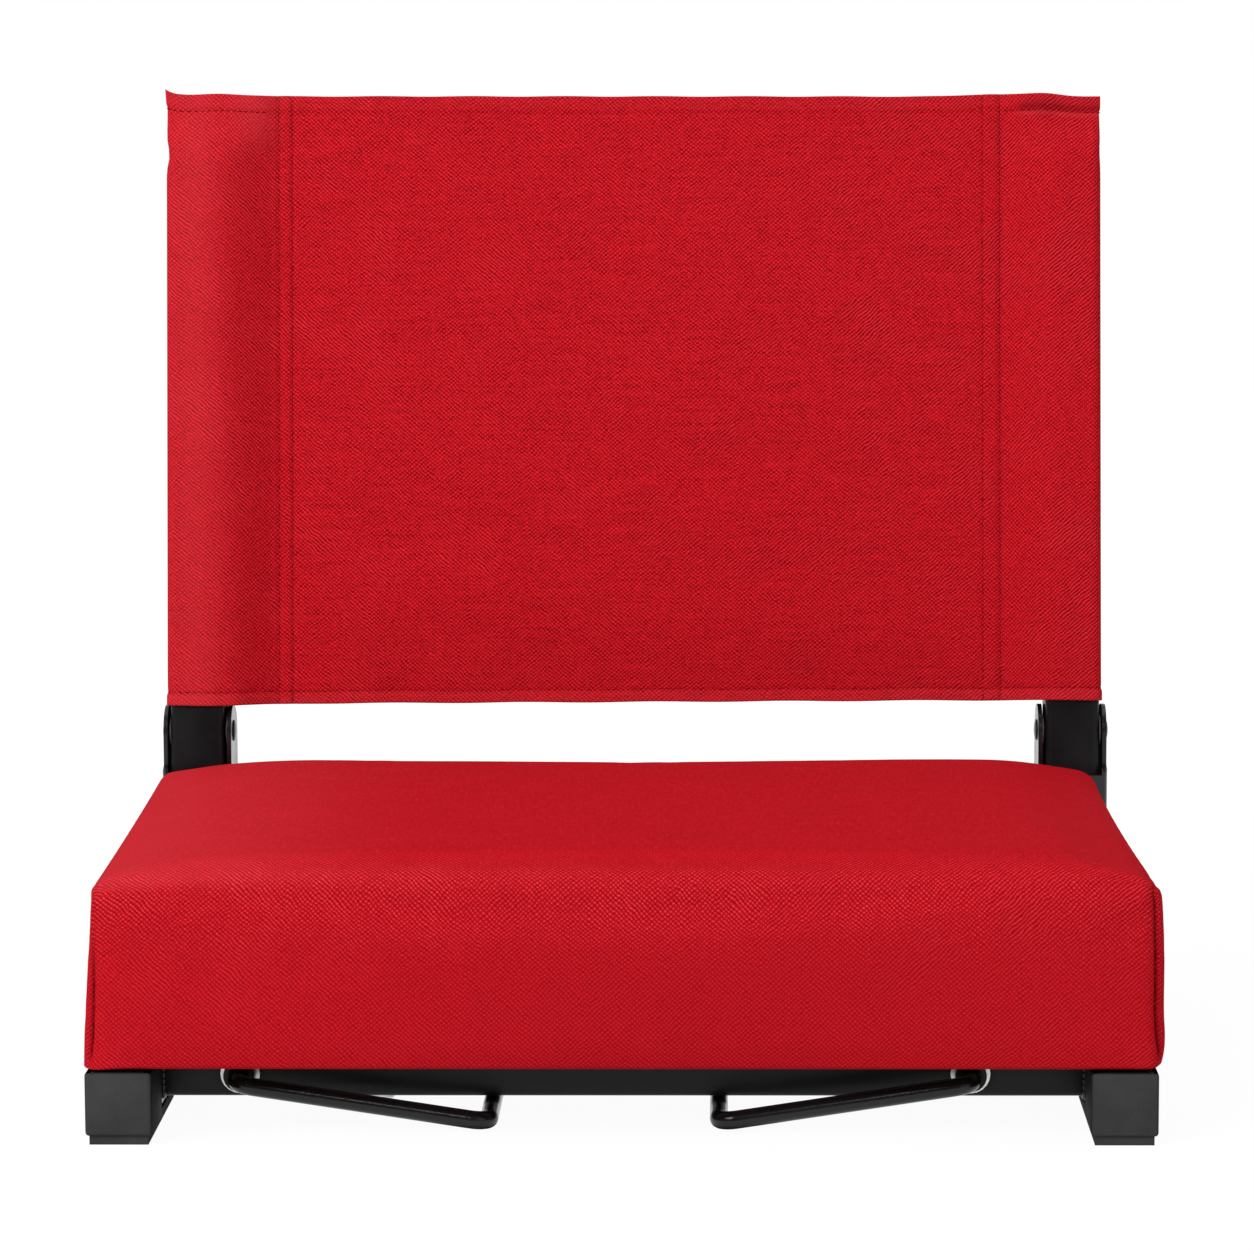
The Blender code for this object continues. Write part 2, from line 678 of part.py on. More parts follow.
def make_bracket_rivets(side):
    """Two blind rivets with domed heads on the bracket's base plate and tails inside the rail."""
    seat = RAIL_TOP + GAP + SHEET + GAP
    shank = RIVET_DIAMETER / 2
    tail = RAIL_TOP - RIVET_TAIL
    profile = dome(RIVET_HEAD_DIAMETER, RIVET_HEAD_HEIGHT, seat) + [(shank, seat), (shank, tail), (0.0, tail)]
    for place, (x, y) in rivet_places(side).items():
        name = f"{place}_{side_name(side)}_bracket_rivet"
        node(name, moved(turned(profile), x, y), BLACK_STEEL, smooth_angle=SMOOTH_DOME)


def make_hinge(side):
    """Pin with a domed head outside each ear, and a plain washer on each side of the post."""
    shank = PIN_DIAMETER / 2
    seat = BRACKET_OUTER + GAP
    upper = dome(PIN_HEAD_DIAMETER, PIN_HEAD_HEIGHT, seat)
    lower = [(radius, -height) for radius, height in reversed(upper)]
    profile = upper + [(shank, seat), (shank, -seat)] + lower
    pin = moved(turned_to_x(turned(profile)), side * POST_X, PIVOT_Y, PIVOT_HEIGHT)
    node(f"{side_name(side)}_hinge_pin", pin, BLACK_STEEL, smooth_angle=SMOOTH_DOME)

    low = TUBE_HALF + GAP
    high = low + HINGE_WASHER_THICKNESS
    bore = PIN_DIAMETER + 2 * GAP
    for place, near, far in (("outer", low, high), ("inner", -high, -low)):
        washer = turned_to_x(ring(HINGE_WASHER_DIAMETER, bore, near, far))
        washer.transform(Matrix.Diagonal((side, 1, side, 1)))
        moved(washer, side * POST_X, PIVOT_Y, PIVOT_HEIGHT)
        node(f"{side_name(side)}_{place}_hinge_washer", washer, NYLON, smooth_angle=SMOOTH_METAL)


def make_post(side, pivot):
    """Square tube of the back, drilled for the hinge pin, with a plug in each end."""
    tube = prism(
        [square(TUBE_HALF, TUBE_CORNER), square(TUBE_HALF - TUBE_WALL, TUBE_CORNER - TUBE_WALL)],
        POST_FOOT,
        POST_HEAD,
    )
    x = side * POST_X
    post = node(f"{side_name(side)}_back_post", moved(tube, x), BLACK_STEEL, pivot, smooth_angle=SMOOTH_METAL)
    bore = turned_to_x(drill(PIN_DIAMETER + 2 * GAP, -TUBE_SIZE, TUBE_SIZE))
    boolean(post, "pin_hole", moved(bore, x))

    room = TUBE_HALF - TUBE_WALL - GAP
    corner = TUBE_CORNER - TUBE_WALL
    for name, end, outwards in (("foot", POST_FOOT, -1), ("top", POST_HEAD, 1)):
        head_near = end + outwards * GAP
        head_far = head_near + outwards * PLUG_HEAD
        head = prism([square(TUBE_HALF, TUBE_CORNER)], min(head_near, head_far), max(head_near, head_far))
        moved(head, x)
        plug_name = f"{side_name(side)}_post_{name}_plug"
        plug = node(plug_name, head, PLUG_PLASTIC, pivot, smooth_angle=SMOOTH_METAL)
        overlap = head_near + outwards * PLUG_HEAD / 2
        inside = end - outwards * PLUG_INSERT
        insert = prism([square(room, corner)], min(overlap, inside), max(overlap, inside))
        boolean(plug, "insert", moved(insert, x), "UNION")


def make_sling(pivot):
    """Stretched panel with a sleeve round each post: one outline, seen from above, extruded up the posts. The
    sleeves taper to the panel at their seams, and their tops are sewn shut."""
    half_panel = PANEL_THICKNESS / 2
    edge = POST_X + SLEEVE_OUTER
    inner = POST_X - SLEEVE_OUTER
    seam = edge - SLEEVE_SEAM
    front = [
        (-edge, -SLEEVE_OUTER, SLEEVE_CORNER),
        (-inner, -SLEEVE_OUTER, SLEEVE_CORNER),
        (-seam, -half_panel, 0),
        (seam, -half_panel, 0),
        (inner, -SLEEVE_OUTER, SLEEVE_CORNER),
        (edge, -SLEEVE_OUTER, SLEEVE_CORNER),
    ]
    back = [(-x, -y, radius) for x, y, radius in front]
    body = prism([rounded(front + back)], SLING_BOTTOM, SLING_TOP)
    sling = node("back_sling", body, RED_CLOTH, pivot, smooth_angle=SMOOTH_DOME)

    run = SLEEVE_SEAM - 2 * SLEEVE_OUTER
    slope = (SLEEVE_OUTER - half_panel) / run
    drop = SLEEVE_FABRIC * math.hypot(1, slope)
    shoulder = inner + (drop - SLEEVE_FABRIC) / slope
    tip_half = SLEEVE_FABRIC / 2
    tip = inner - (SLEEVE_OUTER - drop - tip_half) / slope
    corner = SLEEVE_CORNER - SLEEVE_FABRIC
    for side in (-1, 1):
        upper = [
            (POST_X + SLEEVE_INNER, -SLEEVE_INNER, corner),
            (POST_X + SLEEVE_INNER, SLEEVE_INNER, corner),
            (shoulder, SLEEVE_INNER, corner),
            (tip, tip_half, 0),
            (tip, -tip_half, 0),
            (shoulder, -SLEEVE_INNER, corner),
        ]
        hollow = rounded([(side * x, y, radius) for x, y, radius in upper])
        room = prism([hollow], SLING_BOTTOM - SLING_HEM, SLEEVE_ROOF)
        boolean(sling, f"{side_name(side)}_sleeve", room)


def hook_x(side):
    """Where a hook's axis crosses the front cross tube. Both hooks sit a little to the left of the middle."""
    return side * (SEAT_WIDTH / 2 - HOOK_INSET) + HOOK_SHIFT


def hook_path(side):
    """Centre line of a hook about its axis: forward through the cross tube, across, then back under it."""
    front = -CROSS_SIZE / 2 - HOOK_STANDOFF
    inwards = -side
    steps = 2 * ARC_STEPS
    first = []
    second = []
    for step in range(steps + 1):
        angle = math.pi / 2 * step / steps
        near = ROD_BEND * (1 - math.cos(angle))
        far = ROD_BEND * math.sin(angle)
        first.append((near, front + ROD_BEND - far))
        second.append((HOOK_REACH - ROD_BEND + far, front + near))
    points = [(0.0, hook_tail()), *first, *second, (HOOK_REACH, front + HOOK_LEG)]
    return [(inwards * x, y, 0.0) for x, y in points]


def hook_tail():
    """How far the rod's threaded end stands behind the hook's middle, past washer and nut."""
    behind = CROSS_SIZE / 2 + GAP + HOOK_WASHER_THICKNESS + GAP + NUT_LENGTH
    return behind + HOOK_THREAD_END


def make_hook(side):
    """Bent rod that swings about its axis, with the collar and lock nut that hold it in the cross tube."""
    name = side_name(side)
    place = (hook_x(side), FRONT_CROSS_Y, CROSS_Z)
    pivot = joint_empty(f"{name}_hook_axis", place, (0, -side * HOOK_DROOP, 0))
    path = hook_path(side)
    curve = bpy.data.curves.new(f"{name}_hook", "CURVE")
    curve.dimensions = "3D"
    curve.bevel_depth = ROD_RADIUS
    curve.bevel_resolution = ROD_FACETS
    curve.use_fill_caps = True
    spline = curve.splines.new("POLY")
    spline.points.add(len(path) - 1)
    spline.use_smooth = True
    for point, spot in zip(spline.points, path):
        point.co = (*spot, 1.0)
    curve.materials.append(finish_of(BLACK_STEEL))
    mesh_object(f"{name}_hook", curve, PARTS, pivot)

    face = CROSS_SIZE / 2 + GAP + HOOK_WASHER_THICKNESS + GAP
    collar = turned_to_y(ring(COLLAR_DIAMETER, HOOK_BORE, face, face + COLLAR_LENGTH))
    node(f"{name}_hook_collar", collar, BLACK_STEEL, pivot, smooth_angle=SMOOTH_METAL)

    corner = NUT_ACROSS_FLATS / math.sqrt(3)
    hexagon = [(corner * math.cos(math.pi / 3 * k), corner * math.sin(math.pi / 3 * k)) for k in range(6)]
    bore = [
        (
            HOOK_BORE / 2 * math.cos(2 * math.pi * k / ROUND_SEGMENTS),
            HOOK_BORE / 2 * math.sin(2 * math.pi * k / ROUND_SEGMENTS),
        )
        for k in range(ROUND_SEGMENTS)
    ]
    nut = turned_to_y(prism([hexagon, bore], -face - NUT_LENGTH, -face))
    node(f"{name}_hook_nut", nut, ZINC, pivot, smooth_angle=SMOOTH_NUT)


def make_hook_washers(side):
    """Zinc washers in front of and behind the cross tube."""
    low = CROSS_SIZE / 2 + GAP
    high = low + HOOK_WASHER_THICKNESS
    for place, near, far in (("front", low, high), ("rear", -high, -low)):
        washer = turned_to_y(ring(HOOK_WASHER_DIAMETER, HOOK_BORE, near, far))
        moved(washer, hook_x(side), FRONT_CROSS_Y, CROSS_Z)
        node(f"{place}_{side_name(side)}_hook_washer", washer, ZINC, smooth_angle=SMOOTH_METAL)


clear_scene()
PARTS = new_collection("stadium_chair")
CUTTERS = new_collection("cutters")

make_cross_tube("front_cross_tube", FRONT_CROSS_Y, with_hooks=True)
make_cross_tube("rear_cross_tube", REAR_CROSS_Y, with_hooks=False)
make_seat()
make_seat_fasteners()
backrest_axis = joint_empty("backrest_axis", (0, PIVOT_Y, PIVOT_HEIGHT), (-RECLINE, 0, 0))
make_sling(backrest_axis)
for hand in (-1, 1):
    make_rail(hand)
    make_boot(hand, "front")
    make_boot(hand, "rear")
    make_bracket(hand)
    make_bracket_rivets(hand)
    make_hinge(hand)
    make_post(hand, backrest_axis)
    make_hook(hand)
    make_hook_washers(hand)
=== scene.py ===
import math

import bpy
import numpy as np
from mathutils import Matrix, Vector


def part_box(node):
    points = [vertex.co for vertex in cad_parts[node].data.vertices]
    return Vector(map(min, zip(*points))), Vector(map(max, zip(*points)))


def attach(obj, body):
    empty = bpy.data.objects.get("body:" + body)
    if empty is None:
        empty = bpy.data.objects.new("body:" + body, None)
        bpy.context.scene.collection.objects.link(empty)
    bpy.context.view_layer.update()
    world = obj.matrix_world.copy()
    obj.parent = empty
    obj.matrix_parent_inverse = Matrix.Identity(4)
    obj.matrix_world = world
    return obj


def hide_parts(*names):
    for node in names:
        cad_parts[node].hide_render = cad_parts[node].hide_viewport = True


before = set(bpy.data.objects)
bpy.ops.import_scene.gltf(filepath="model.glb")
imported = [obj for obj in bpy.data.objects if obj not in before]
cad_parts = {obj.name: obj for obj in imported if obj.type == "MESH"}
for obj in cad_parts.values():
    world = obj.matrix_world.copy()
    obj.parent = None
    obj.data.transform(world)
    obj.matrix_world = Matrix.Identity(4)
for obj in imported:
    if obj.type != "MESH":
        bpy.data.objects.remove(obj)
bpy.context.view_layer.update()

bl_info = {
    "name": "Stadium Chair Finish",
    "version": (1, 0, 0),
    "blender": (4, 5, 0),
    "location": "View3D > Sidebar > Stadium Chair",
    "description": "Dresses the folding stadium chair: padded seat, sling back, hooks, finishes and stage",
    "category": "Object",
}

SEAT_LOW, SEAT_HIGH = (np.array(corner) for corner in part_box("seat_cover"))
HINGE = np.array(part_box("left_hinge_pin")).mean(axis=0) * np.array([0.0, 1.0, 1.0])
RECLINE = math.radians(7.0)
POST_X = float(np.array(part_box("right_hinge_pin"))[:, 0].mean())
TURN = 2 * math.pi

# The seat's sides, in metres at their largest: the left one's lean and bulge, the right one's bulge and foot.
LEFT_LEAN = 0.0010
LEFT_BULGE = 0.0014
RIGHT_BULGE = 0.0048
RIGHT_FOOT = 0.0010

# Relief of the sling, in metres: welts and hems stand up, stitch lines sink, and the cloth gathers and waves.
WELT_RISE = 0.00055
STITCH_SINK = 0.00070
HEM_RISE = 0.00045
HEM_SINK = 0.00065
GATHER_RISE = 0.00016
TUG_RISE = 0.00014
WAVE_RISE = 0.00028
LINE_WIDTH = 0.0009

# Crests of the sling's upper edge at its sleeves, in metres: height, place across and width.
CRESTS = ((0.0011, 0.166, 0.016), (0.0012, 0.193, 0.010), (0.0009, -0.195, 0.011))

# Points on each round corner of a path, and steps over each soft edge of the seat.
ARC_POINTS = 7
EDGE_STEPS = 6

# Name, place, aim and size of each light. Its power is the stage setting of the name's first word.
LIGHTS = (
    ("key_light", (-1.5, -1.7, 1.7), (0.0, 0.0, 0.2), 1.2),
    ("fill_light", (1.7, -1.7, 1.0), (0.0, 0.0, 0.2), 1.6),
    ("top_light", (0.0, 0.3, 2.2), (0.0, 0.0, 0.1), 1.8),
    ("catch_light", (0.05, -2.0, 1.25), (0.0, -0.1, 0.05), 0.2),
)


def metres(name, description, default):
    """A length setting."""
    return bpy.props.FloatProperty(name=name, description=description, default=default, unit="LENGTH")


def radians(name, description, default):
    """An angle setting."""
    return bpy.props.FloatProperty(name=name, description=description, default=default, subtype="ANGLE")


def tint(name, description, default):
    """A colour setting."""
    return bpy.props.FloatVectorProperty(name=name, description=description, default=default, subtype="COLOR")


def watts(name, description, default):
    """A light power setting."""
    return bpy.props.FloatProperty(name=name, description=description, default=default, unit="POWER")


class SeatSettings(bpy.types.PropertyGroup):
    """Sizes of the padded seat."""

    crown: metres("Crown", "Rise of the seat's middle above its edges", 0.0065)
    taper: metres("Taper", "How much each side leans in towards the top", 0.0026)
    twist: metres("Twist", "How far the top turns sideways at front and rear", 0.0023)
    draw_in: metres("Draw In", "How far the sides pull in between the corners", 0.0005)
    edge: metres("Edge Radius", "Roundness of the upright and top edges", 0.010)
    bottom_edge: metres("Bottom Edge", "Roundness where the cover turns under", 0.0025)
    spacing: metres("Spacing", "Distance between points of the cover", 0.0047)
    hem: metres("Hem", "Width of the cover turned under the board", 0.030)
    slack: metres("Slack", "How much flatter the cover starts before it is filled", 0.0015)
    pressure: bpy.props.FloatProperty(
        name="Pressure", description="Push of the filling on the cover", default=4.0
    )
    swell: metres("Swell", "Most that the filling moves a point of the cover", 0.0026)
    seam_depth: metres("Seam Depth", "Depth of the groove along the sewn edges", 0.0022)
    seam_width: metres("Seam Width", "Half width of the groove along the sewn edges", 0.0015)
    pucker: metres("Pucker", "Height of the small gathers beside the seams", 0.00035)


class SlingSettings(bpy.types.PropertyGroup):
    """Sizes of the stretched back."""

    low: metres("Lower Edge", "Lower edge above the hinge, along the posts", 0.0125)
    high: metres("Upper Edge", "Upper edge above the hinge, along the posts", 0.296)
    sleeve: metres("Sleeve", "Half width of the sleeve round a post", 0.0135)
    left_seam: metres("Left Seam", "Outer stitch line of the left sleeve", 0.1661)
    left_welt: metres("Left Welt", "Distance between the left stitch lines", 0.0062)
    right_seam: metres("Right Seam", "Outer stitch line of the right sleeve", 0.1707)
    right_welt: metres("Right Welt", "Distance between the right stitch lines", 0.0080)
    top_hem: metres("Top Hem", "Stitch line below the upper edge", 0.0076)
    bottom_hem: metres("Bottom Hem", "Stitch line above the lower edge", 0.0060)
    thickness: metres("Thickness", "Thickness of the woven cloth", 0.0007)
    stitch: metres("Stitch", "Length of one stitch with its gap", 0.0031)
    thread: metres("Thread", "Thickness of the sewing thread", 0.0006)


class HookSettings(bpy.types.PropertyGroup):
    """Sizes of the bench hooks."""

    rod: metres("Rod", "Thickness of the rod", 0.0075)
    bend: metres("Bend", "Radius of the bends", 0.0075)
    reach: metres("Reach", "Length of the cross arm", 0.105)
    leg: metres("Leg", "Length of the gripping leg", 0.075)
    forward: metres("Forward", "Cross arm in front of the axis point", 0.032)
    droop: radians("Droop", "Slope of the cross arm at rest", math.asin(0.01575 / 0.105))


class FinishSettings(bpy.types.PropertyGroup):
    """Colours and the weave."""

    cloth: tint("Cloth", "Colour of the woven cover", (0.770, 0.011, 0.022))
    # Painted shade between the threads of the weave.
    cloth_shade: tint("Cloth Shade", "Colour between the threads", (0.200, 0.001, 0.004))
    # Pale colour for painted highlights, painted light and lint flecks on the cloth.
    cloth_highlight_and_lint: tint("Cloth Pale", "Colour of proud and worn threads", (0.88, 0.070, 0.090))
    # Darker than the cloth: painted shade of the needle holes and stitch dents.
    thread: tint("Thread", "Colour of the sewing thread", (0.260, 0.002, 0.006))
    steel: tint("Powder Coat", "Colour of the coated steel", (0.0065, 0.0065, 0.0070))
    boot: tint("Boot", "Colour of the foot boots", (0.040, 0.040, 0.041))
    warp_pitch: metres("Warp Pitch", "Distance between upright threads", 0.00107)
    weft_pitch: metres("Weft Pitch", "Distance between level threads", 0.00093)


class StageSettings(bpy.types.PropertyGroup):
    """Camera and light levels."""

    lens: bpy.props.FloatProperty(name="Lens", description="Focal length", default=134.84, unit="CAMERA")
    place: bpy.props.FloatVectorProperty(
        name="Place",
        description="Where the camera stands",
        default=(0.04325, -2.04366, 0.44189),
        unit="LENGTH",
    )
    pitch: radians("Pitch", "How far it looks down", math.radians(7.064))
    yaw: radians("Yaw", "How far it looks to the left", math.radians(1.227))
    roll: radians("Roll", "Turn about its own axis", math.radians(-0.239))
    key: watts("Key", "Light from the upper left", 41.0)
    fill: watts("Fill", "Light from the right", 5.0)
    top: watts("Top", "Light from above", 10.0)
    catch: watts("Catch", "Small light for the highlights", 1.5)
    sky: bpy.props.FloatProperty(name="Sky", description="Even light from all round", default=0.40)


class ChairSettings(bpy.types.PropertyGroup):
    """All settings of the chair."""

    seat: bpy.props.PointerProperty(type=SeatSettings)
    sling: bpy.props.PointerProperty(type=SlingSettings)
    hook: bpy.props.PointerProperty(type=HookSettings)
    finish: bpy.props.PointerProperty(type=FinishSettings)
    stage: bpy.props.PointerProperty(type=StageSettings)


def lattice(rows, columns, wrap=False):
    """Quads of a rows by columns lattice of points numbered row by row. Wrap joins its last column to the
    first."""
    index = np.arange(rows * columns).reshape(rows, columns)
    left = index if wrap else index[:, :-1]
    right = np.roll(index, -1, axis=1) if wrap else index[:, 1:]
    return np.stack([left[:-1], right[:-1], right[1:], left[1:]], axis=-1).reshape(-1, 4)


def mesh_piece(name, points, quads, uvs=None, **values):
    """A smooth shaded object from arrays of points and quads, with a UV pair for each quad corner if given,
    and a named value for each point."""
    mesh = bpy.data.meshes.new(name)
    mesh.vertices.add(len(points))
    mesh.vertices.foreach_set("co", np.asarray(points, dtype=np.float32).ravel())
    mesh.loops.add(quads.size)
    mesh.loops.foreach_set("vertex_index", np.asarray(quads, dtype=np.int32).ravel())
    mesh.polygons.add(len(quads))
    mesh.polygons.foreach_set("loop_start", np.arange(0, quads.size, 4, dtype=np.int32))
    mesh.update(calc_edges=True)
    if uvs is not None:
        layer = mesh.uv_layers.new(name="cloth")
        layer.data.foreach_set("uv", np.asarray(uvs, dtype=np.float32).ravel())
    for key, value in values.items():
        layer = mesh.attributes.new(key, "FLOAT", "POINT")
        layer.data.foreach_set("value", np.asarray(value, dtype=np.float32).ravel())
    mesh.validate()
    mesh.shade_smooth()
    obj = bpy.data.objects.new(name, mesh)
    bpy.context.scene.collection.objects.link(obj)
    return obj


def finish_piece(obj, material, body, slot, *nodes):
    """Give a piece its material and its body, and hide the nodes that it stands for. The slot is not used."""
    obj.data.materials.append(material)
    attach(obj, body)
    if nodes:
        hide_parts(*nodes)


def welded(points, quads, grain=1e-6):
    """Merge points that fall on the same grain of space. Returns the points kept, the quads, and which were
    kept."""
    cells = np.round(points / grain).astype(np.int64)
    kept, where = np.unique(cells, axis=0, return_index=True, return_inverse=True)[1:]
    return points[kept], where.reshape(-1)[quads], kept


def hill(value, centre, width):
    """A smooth hill of height one."""
    return np.exp(-(((value - centre) / width) ** 2))


def eased(value, low, high):
    """Rises smoothly from 0 at low to 1 at high."""
    t = np.clip((value - low) / (high - low), 0.0, 1.0)
    return t * t * (3 - 2 * t)


def by_side(across, left, right):
    """One value on the left of the middle and another on the right."""
    return np.where(across < 0, left, right)


def unit(vectors):
    """Directions of length one."""
    return vectors / np.linalg.norm(vectors, axis=-1, keepdims=True)


def run_length(path):
    """Distance of each point along a path."""
    return np.concatenate([[0.0], np.cumsum(np.linalg.norm(np.diff(path, axis=0), axis=1))])


def scaled(colour, factor):
    """A colour made darker or paler by a factor."""
    return tuple(factor * part for part in colour)


def set_inputs(tree, node, inputs):
    """Set a node's sockets to values, or link them from other sockets."""
    for socket, value in inputs.items():
        if isinstance(value, bpy.types.NodeSocket):
            tree.links.new(value, node.inputs[socket])
        else:
            node.inputs[socket].default_value = value


def add_node(tree, kind, inputs=None, **settings):
    """A node of this kind with its settings and its sockets."""
    made = tree.nodes.new(kind)
    for key, value in settings.items():
        setattr(made, key, value)
    set_inputs(tree, made, inputs or {})
    return made


def calc(tree, operation, first, second=0.0, clamp=False):
    """The result of one sum on two numbers or sockets."""
    made = add_node(tree, "ShaderNodeMath", {0: first, 1: second}, operation=operation, use_clamp=clamp)
    return made.outputs["Value"]


def total(tree, first, *parts, clamp=False):
    """The sum of numbers or sockets, held between 0 and 1 at the end if asked."""
    for part in parts[:-1]:
        first = calc(tree, "ADD", first, part)
    return calc(tree, "ADD", first, parts[-1], clamp)


def product(tree, first, second, clamp=False):
    """The product of two numbers or sockets."""
    return calc(tree, "MULTIPLY", first, second, clamp)


def blend_colour(tree, share, first, second, mode="MIX"):
    """Two colours mixed by a share."""
    kind = {"data_type": "RGBA", "blend_type": mode, "clamp_factor": True}
    made = add_node(tree, "ShaderNodeMix", {"Factor": share}, **kind)
    for socket, value in ((6, first), (7, second)):
        set_inputs(tree, made, {socket: value if isinstance(value, bpy.types.NodeSocket) else (*value, 1.0)})
    return made.outputs[2]


def noise(tree, vector, scale, detail=2.0, roughness=0.5):
    """A noise value from 0 to 1 on the coordinates given."""
    inputs = {"Vector": vector, "Scale": scale, "Detail": detail, "Roughness": roughness}
    return add_node(tree, "ShaderNodeTexNoise", inputs).outputs["Fac"]


def stretched(tree, vector, scale):
    """Coordinates scaled by a different amount along each axis."""
    made = add_node(tree, "ShaderNodeVectorMath", {0: vector, 1: scale}, operation="MULTIPLY")
    return made.outputs["Vector"]


def drawn_noise(tree, vector, scale, detail=2.0, roughness=0.5):
    """A noise value on coordinates scaled by a different amount along each axis."""
    return noise(tree, stretched(tree, vector, scale), 1.0, detail, roughness)


def ramp(tree, value, low, high, to_low, to_high):
    """A value taken from one range to another, held at the ends."""
    inputs = {"Value": value, "From Min": low, "From Max": high, "To Min": to_low, "To Max": to_high}
    return add_node(tree, "ShaderNodeMapRange", inputs, clamp=True).outputs["Result"]


def spread(tree, value, to_low, to_high):
    """A noise value, most of which lies from 0.3 to 0.7, taken to another range."""
    return ramp(tree, value, 0.3, 0.7, to_low, to_high)


def new_material(name):
    """An empty Principled material: the material, its nodes and its shader."""
    material = bpy.data.materials.new(name)
    material.use_nodes = True
    tree = material.node_tree
    return material, tree, tree.nodes["Principled BSDF"]


def object_coords(tree):
    """Object coordinates, in metres."""
    return add_node(tree, "ShaderNodeTexCoord").outputs["Object"]


def axis_part(tree, vector, axis):
    """One coordinate of a vector."""
    return add_node(tree, "ShaderNodeSeparateXYZ", {"Vector": vector}).outputs[axis]


def facing(tree, axis, kind="True Normal"):
    """One coordinate of the surface's direction."""
    return axis_part(tree, add_node(tree, "ShaderNodeNewGeometry").outputs[kind], axis)


def bumped(tree, height, distance, strength, normal=None):
    """A normal from a height in units of distance."""
    inputs = {"Height": height, "Distance": distance, "Strength": strength}
    if normal is not None:
        inputs["Normal"] = normal
    return add_node(tree, "ShaderNodeBump", inputs).outputs["Normal"]


def softened(tree, radius):
    """A normal that rounds sharp edges by a radius."""
    return add_node(tree, "ShaderNodeBevel", {"Radius": radius}, samples=4).outputs["Normal"]


def cloth_material(finish, name, slub, depth, lint):
    """Plain weave on the piece's own UV map in metres. Its crossings are the difference of two sets of
    slanted ribs, cos(u - v) and cos(u + v), where noise bends u and v a little. The first is stronger on
    the left and the second on the right, changing over in patches, as a taut plain weave shows. In the
    colour the ribs are painted light and shade: painted shade between the threads and painted highlights
    on the crossings. Depth is the contrast of the ribs and of the random change from crossing to crossing,
    slub that of drawn out noise along single threads, and lint that of flecks on a level top. The point
    values paint shade along the seams, under the board and low on the front, paint light where the cloth
    catches more of it, and paint highlights on the proud threads up the seat's front to its top edge."""
    material, tree, shader = new_material(name)
    uv = add_node(tree, "ShaderNodeUVMap", uv_map="cloth").outputs["UV"]
    across = axis_part(tree, object_coords(tree), "X")
    # Painted light, painted shade and painted highlights of the seat's top front edge, from the point values.
    worn, sewn, crisp = (
        add_node(tree, "ShaderNodeAttribute", attribute_name=key).outputs["Fac"]
        for key in ("worn", "seam_shade", "crisp")
    )
    turns = stretched(tree, uv, (math.pi / finish.warp_pitch, math.pi / finish.weft_pitch, 0.0))
    turns = add_node(tree, "ShaderNodeSeparateXYZ", {"Vector": turns}).outputs
    over = total(tree, turns["X"], product(tree, drawn_noise(tree, uv, (160.0, 160.0, 1.0)), 7.5))
    along = total(tree, turns["Y"], product(tree, drawn_noise(tree, uv, (210.0, 130.0, 1.0)), 6.5))
    cell = add_node(tree, "ShaderNodeCombineXYZ", {"X": over, "Y": along}).outputs["Vector"]
    cell = stretched(tree, cell, (1.0 / math.pi, 1.0 / math.pi, 0.0))
    cell = add_node(tree, "ShaderNodeVectorMath", {0: cell}, operation="FLOOR").outputs["Vector"]
    grain = add_node(tree, "ShaderNodeTexWhiteNoise", {"Vector": cell}, noise_dimensions="2D")
    grain = grain.outputs["Value"]
    cloud = drawn_noise(tree, uv, (30.0, 30.0, 1.0), 3.0, 0.55)
    falling = calc(tree, "COSINE", total(tree, over, along))
    rising = calc(tree, "COSINE", calc(tree, "SUBTRACT", over, along))
    handed = ramp(tree, across, -0.2, 0.2, 0.22, -0.22)
    lean = total(tree, handed, spread(tree, cloud, 0.25, 0.75), clamp=True)
    rising = product(tree, rising, calc(tree, "SUBTRACT", 1.0, lean))
    crossing = calc(tree, "SUBTRACT", product(tree, falling, lean), rising)
    weft_slub = drawn_noise(tree, uv, (28.0, 1150.0, 1.0), 3.0, 0.6)
    warp_slub = drawn_noise(tree, uv, (1150.0, 45.0, 1.0), 3.0, 0.6)
    slubs = total(tree, spread(tree, weft_slub, -0.22, 0.22), spread(tree, warp_slub, -0.08, 0.08))
    panel = ramp(tree, calc(tree, "ABSOLUTE", across), 0.155, 0.175, slub, 0.35 * slub)
    fleck = drawn_noise(tree, uv, (650.0, 110.0, 1.0), 2.0, 0.6)
    level = ramp(tree, facing(tree, "Z", "Normal"), 0.93, 0.995, 0.0, lint)
    # Painted highlights of the top front edge, stronger in cloudy patches.
    crisp = product(tree, crisp, ramp(tree, cloud, 0.35, 0.65, 0.55, 1.25))
    share = total(
        tree,
        ramp(tree, crossing, -0.8, 0.8, 0.525 - 0.425 * depth, 0.525 + 0.425 * depth),
        ramp(tree, grain, 0.0, 1.0, -0.26 * depth, 0.26 * depth),
        product(tree, slubs, panel),
        product(tree, spread(tree, fleck, -1.0, 1.0), level),
        product(tree, crisp, ramp(tree, crossing, -0.8, 0.8, -0.13, 0.10)),
        spread(tree, cloud, -0.02, 0.03),
        clamp=True,
    )
    # Painted highlight dots on the crossings.
    bead = product(
        tree, ramp(tree, crossing, 0.15, 0.85, 0.0, 0.42), ramp(tree, grain, 0.0, 1.0, 0.35, 1.35)
    )
    # Pale share: painted highlights on the crossings, lint flecks on a level top, the painted edge highlights
    # and painted light.
    pale = total(
        tree,
        ramp(tree, crossing, 0.35, 0.95, 0.0, 0.85 * depth),
        product(tree, ramp(tree, fleck, 0.60, 0.78, 0.0, 2.0), level),
        product(tree, crisp, bead),
        worn,
        clamp=True,
    )
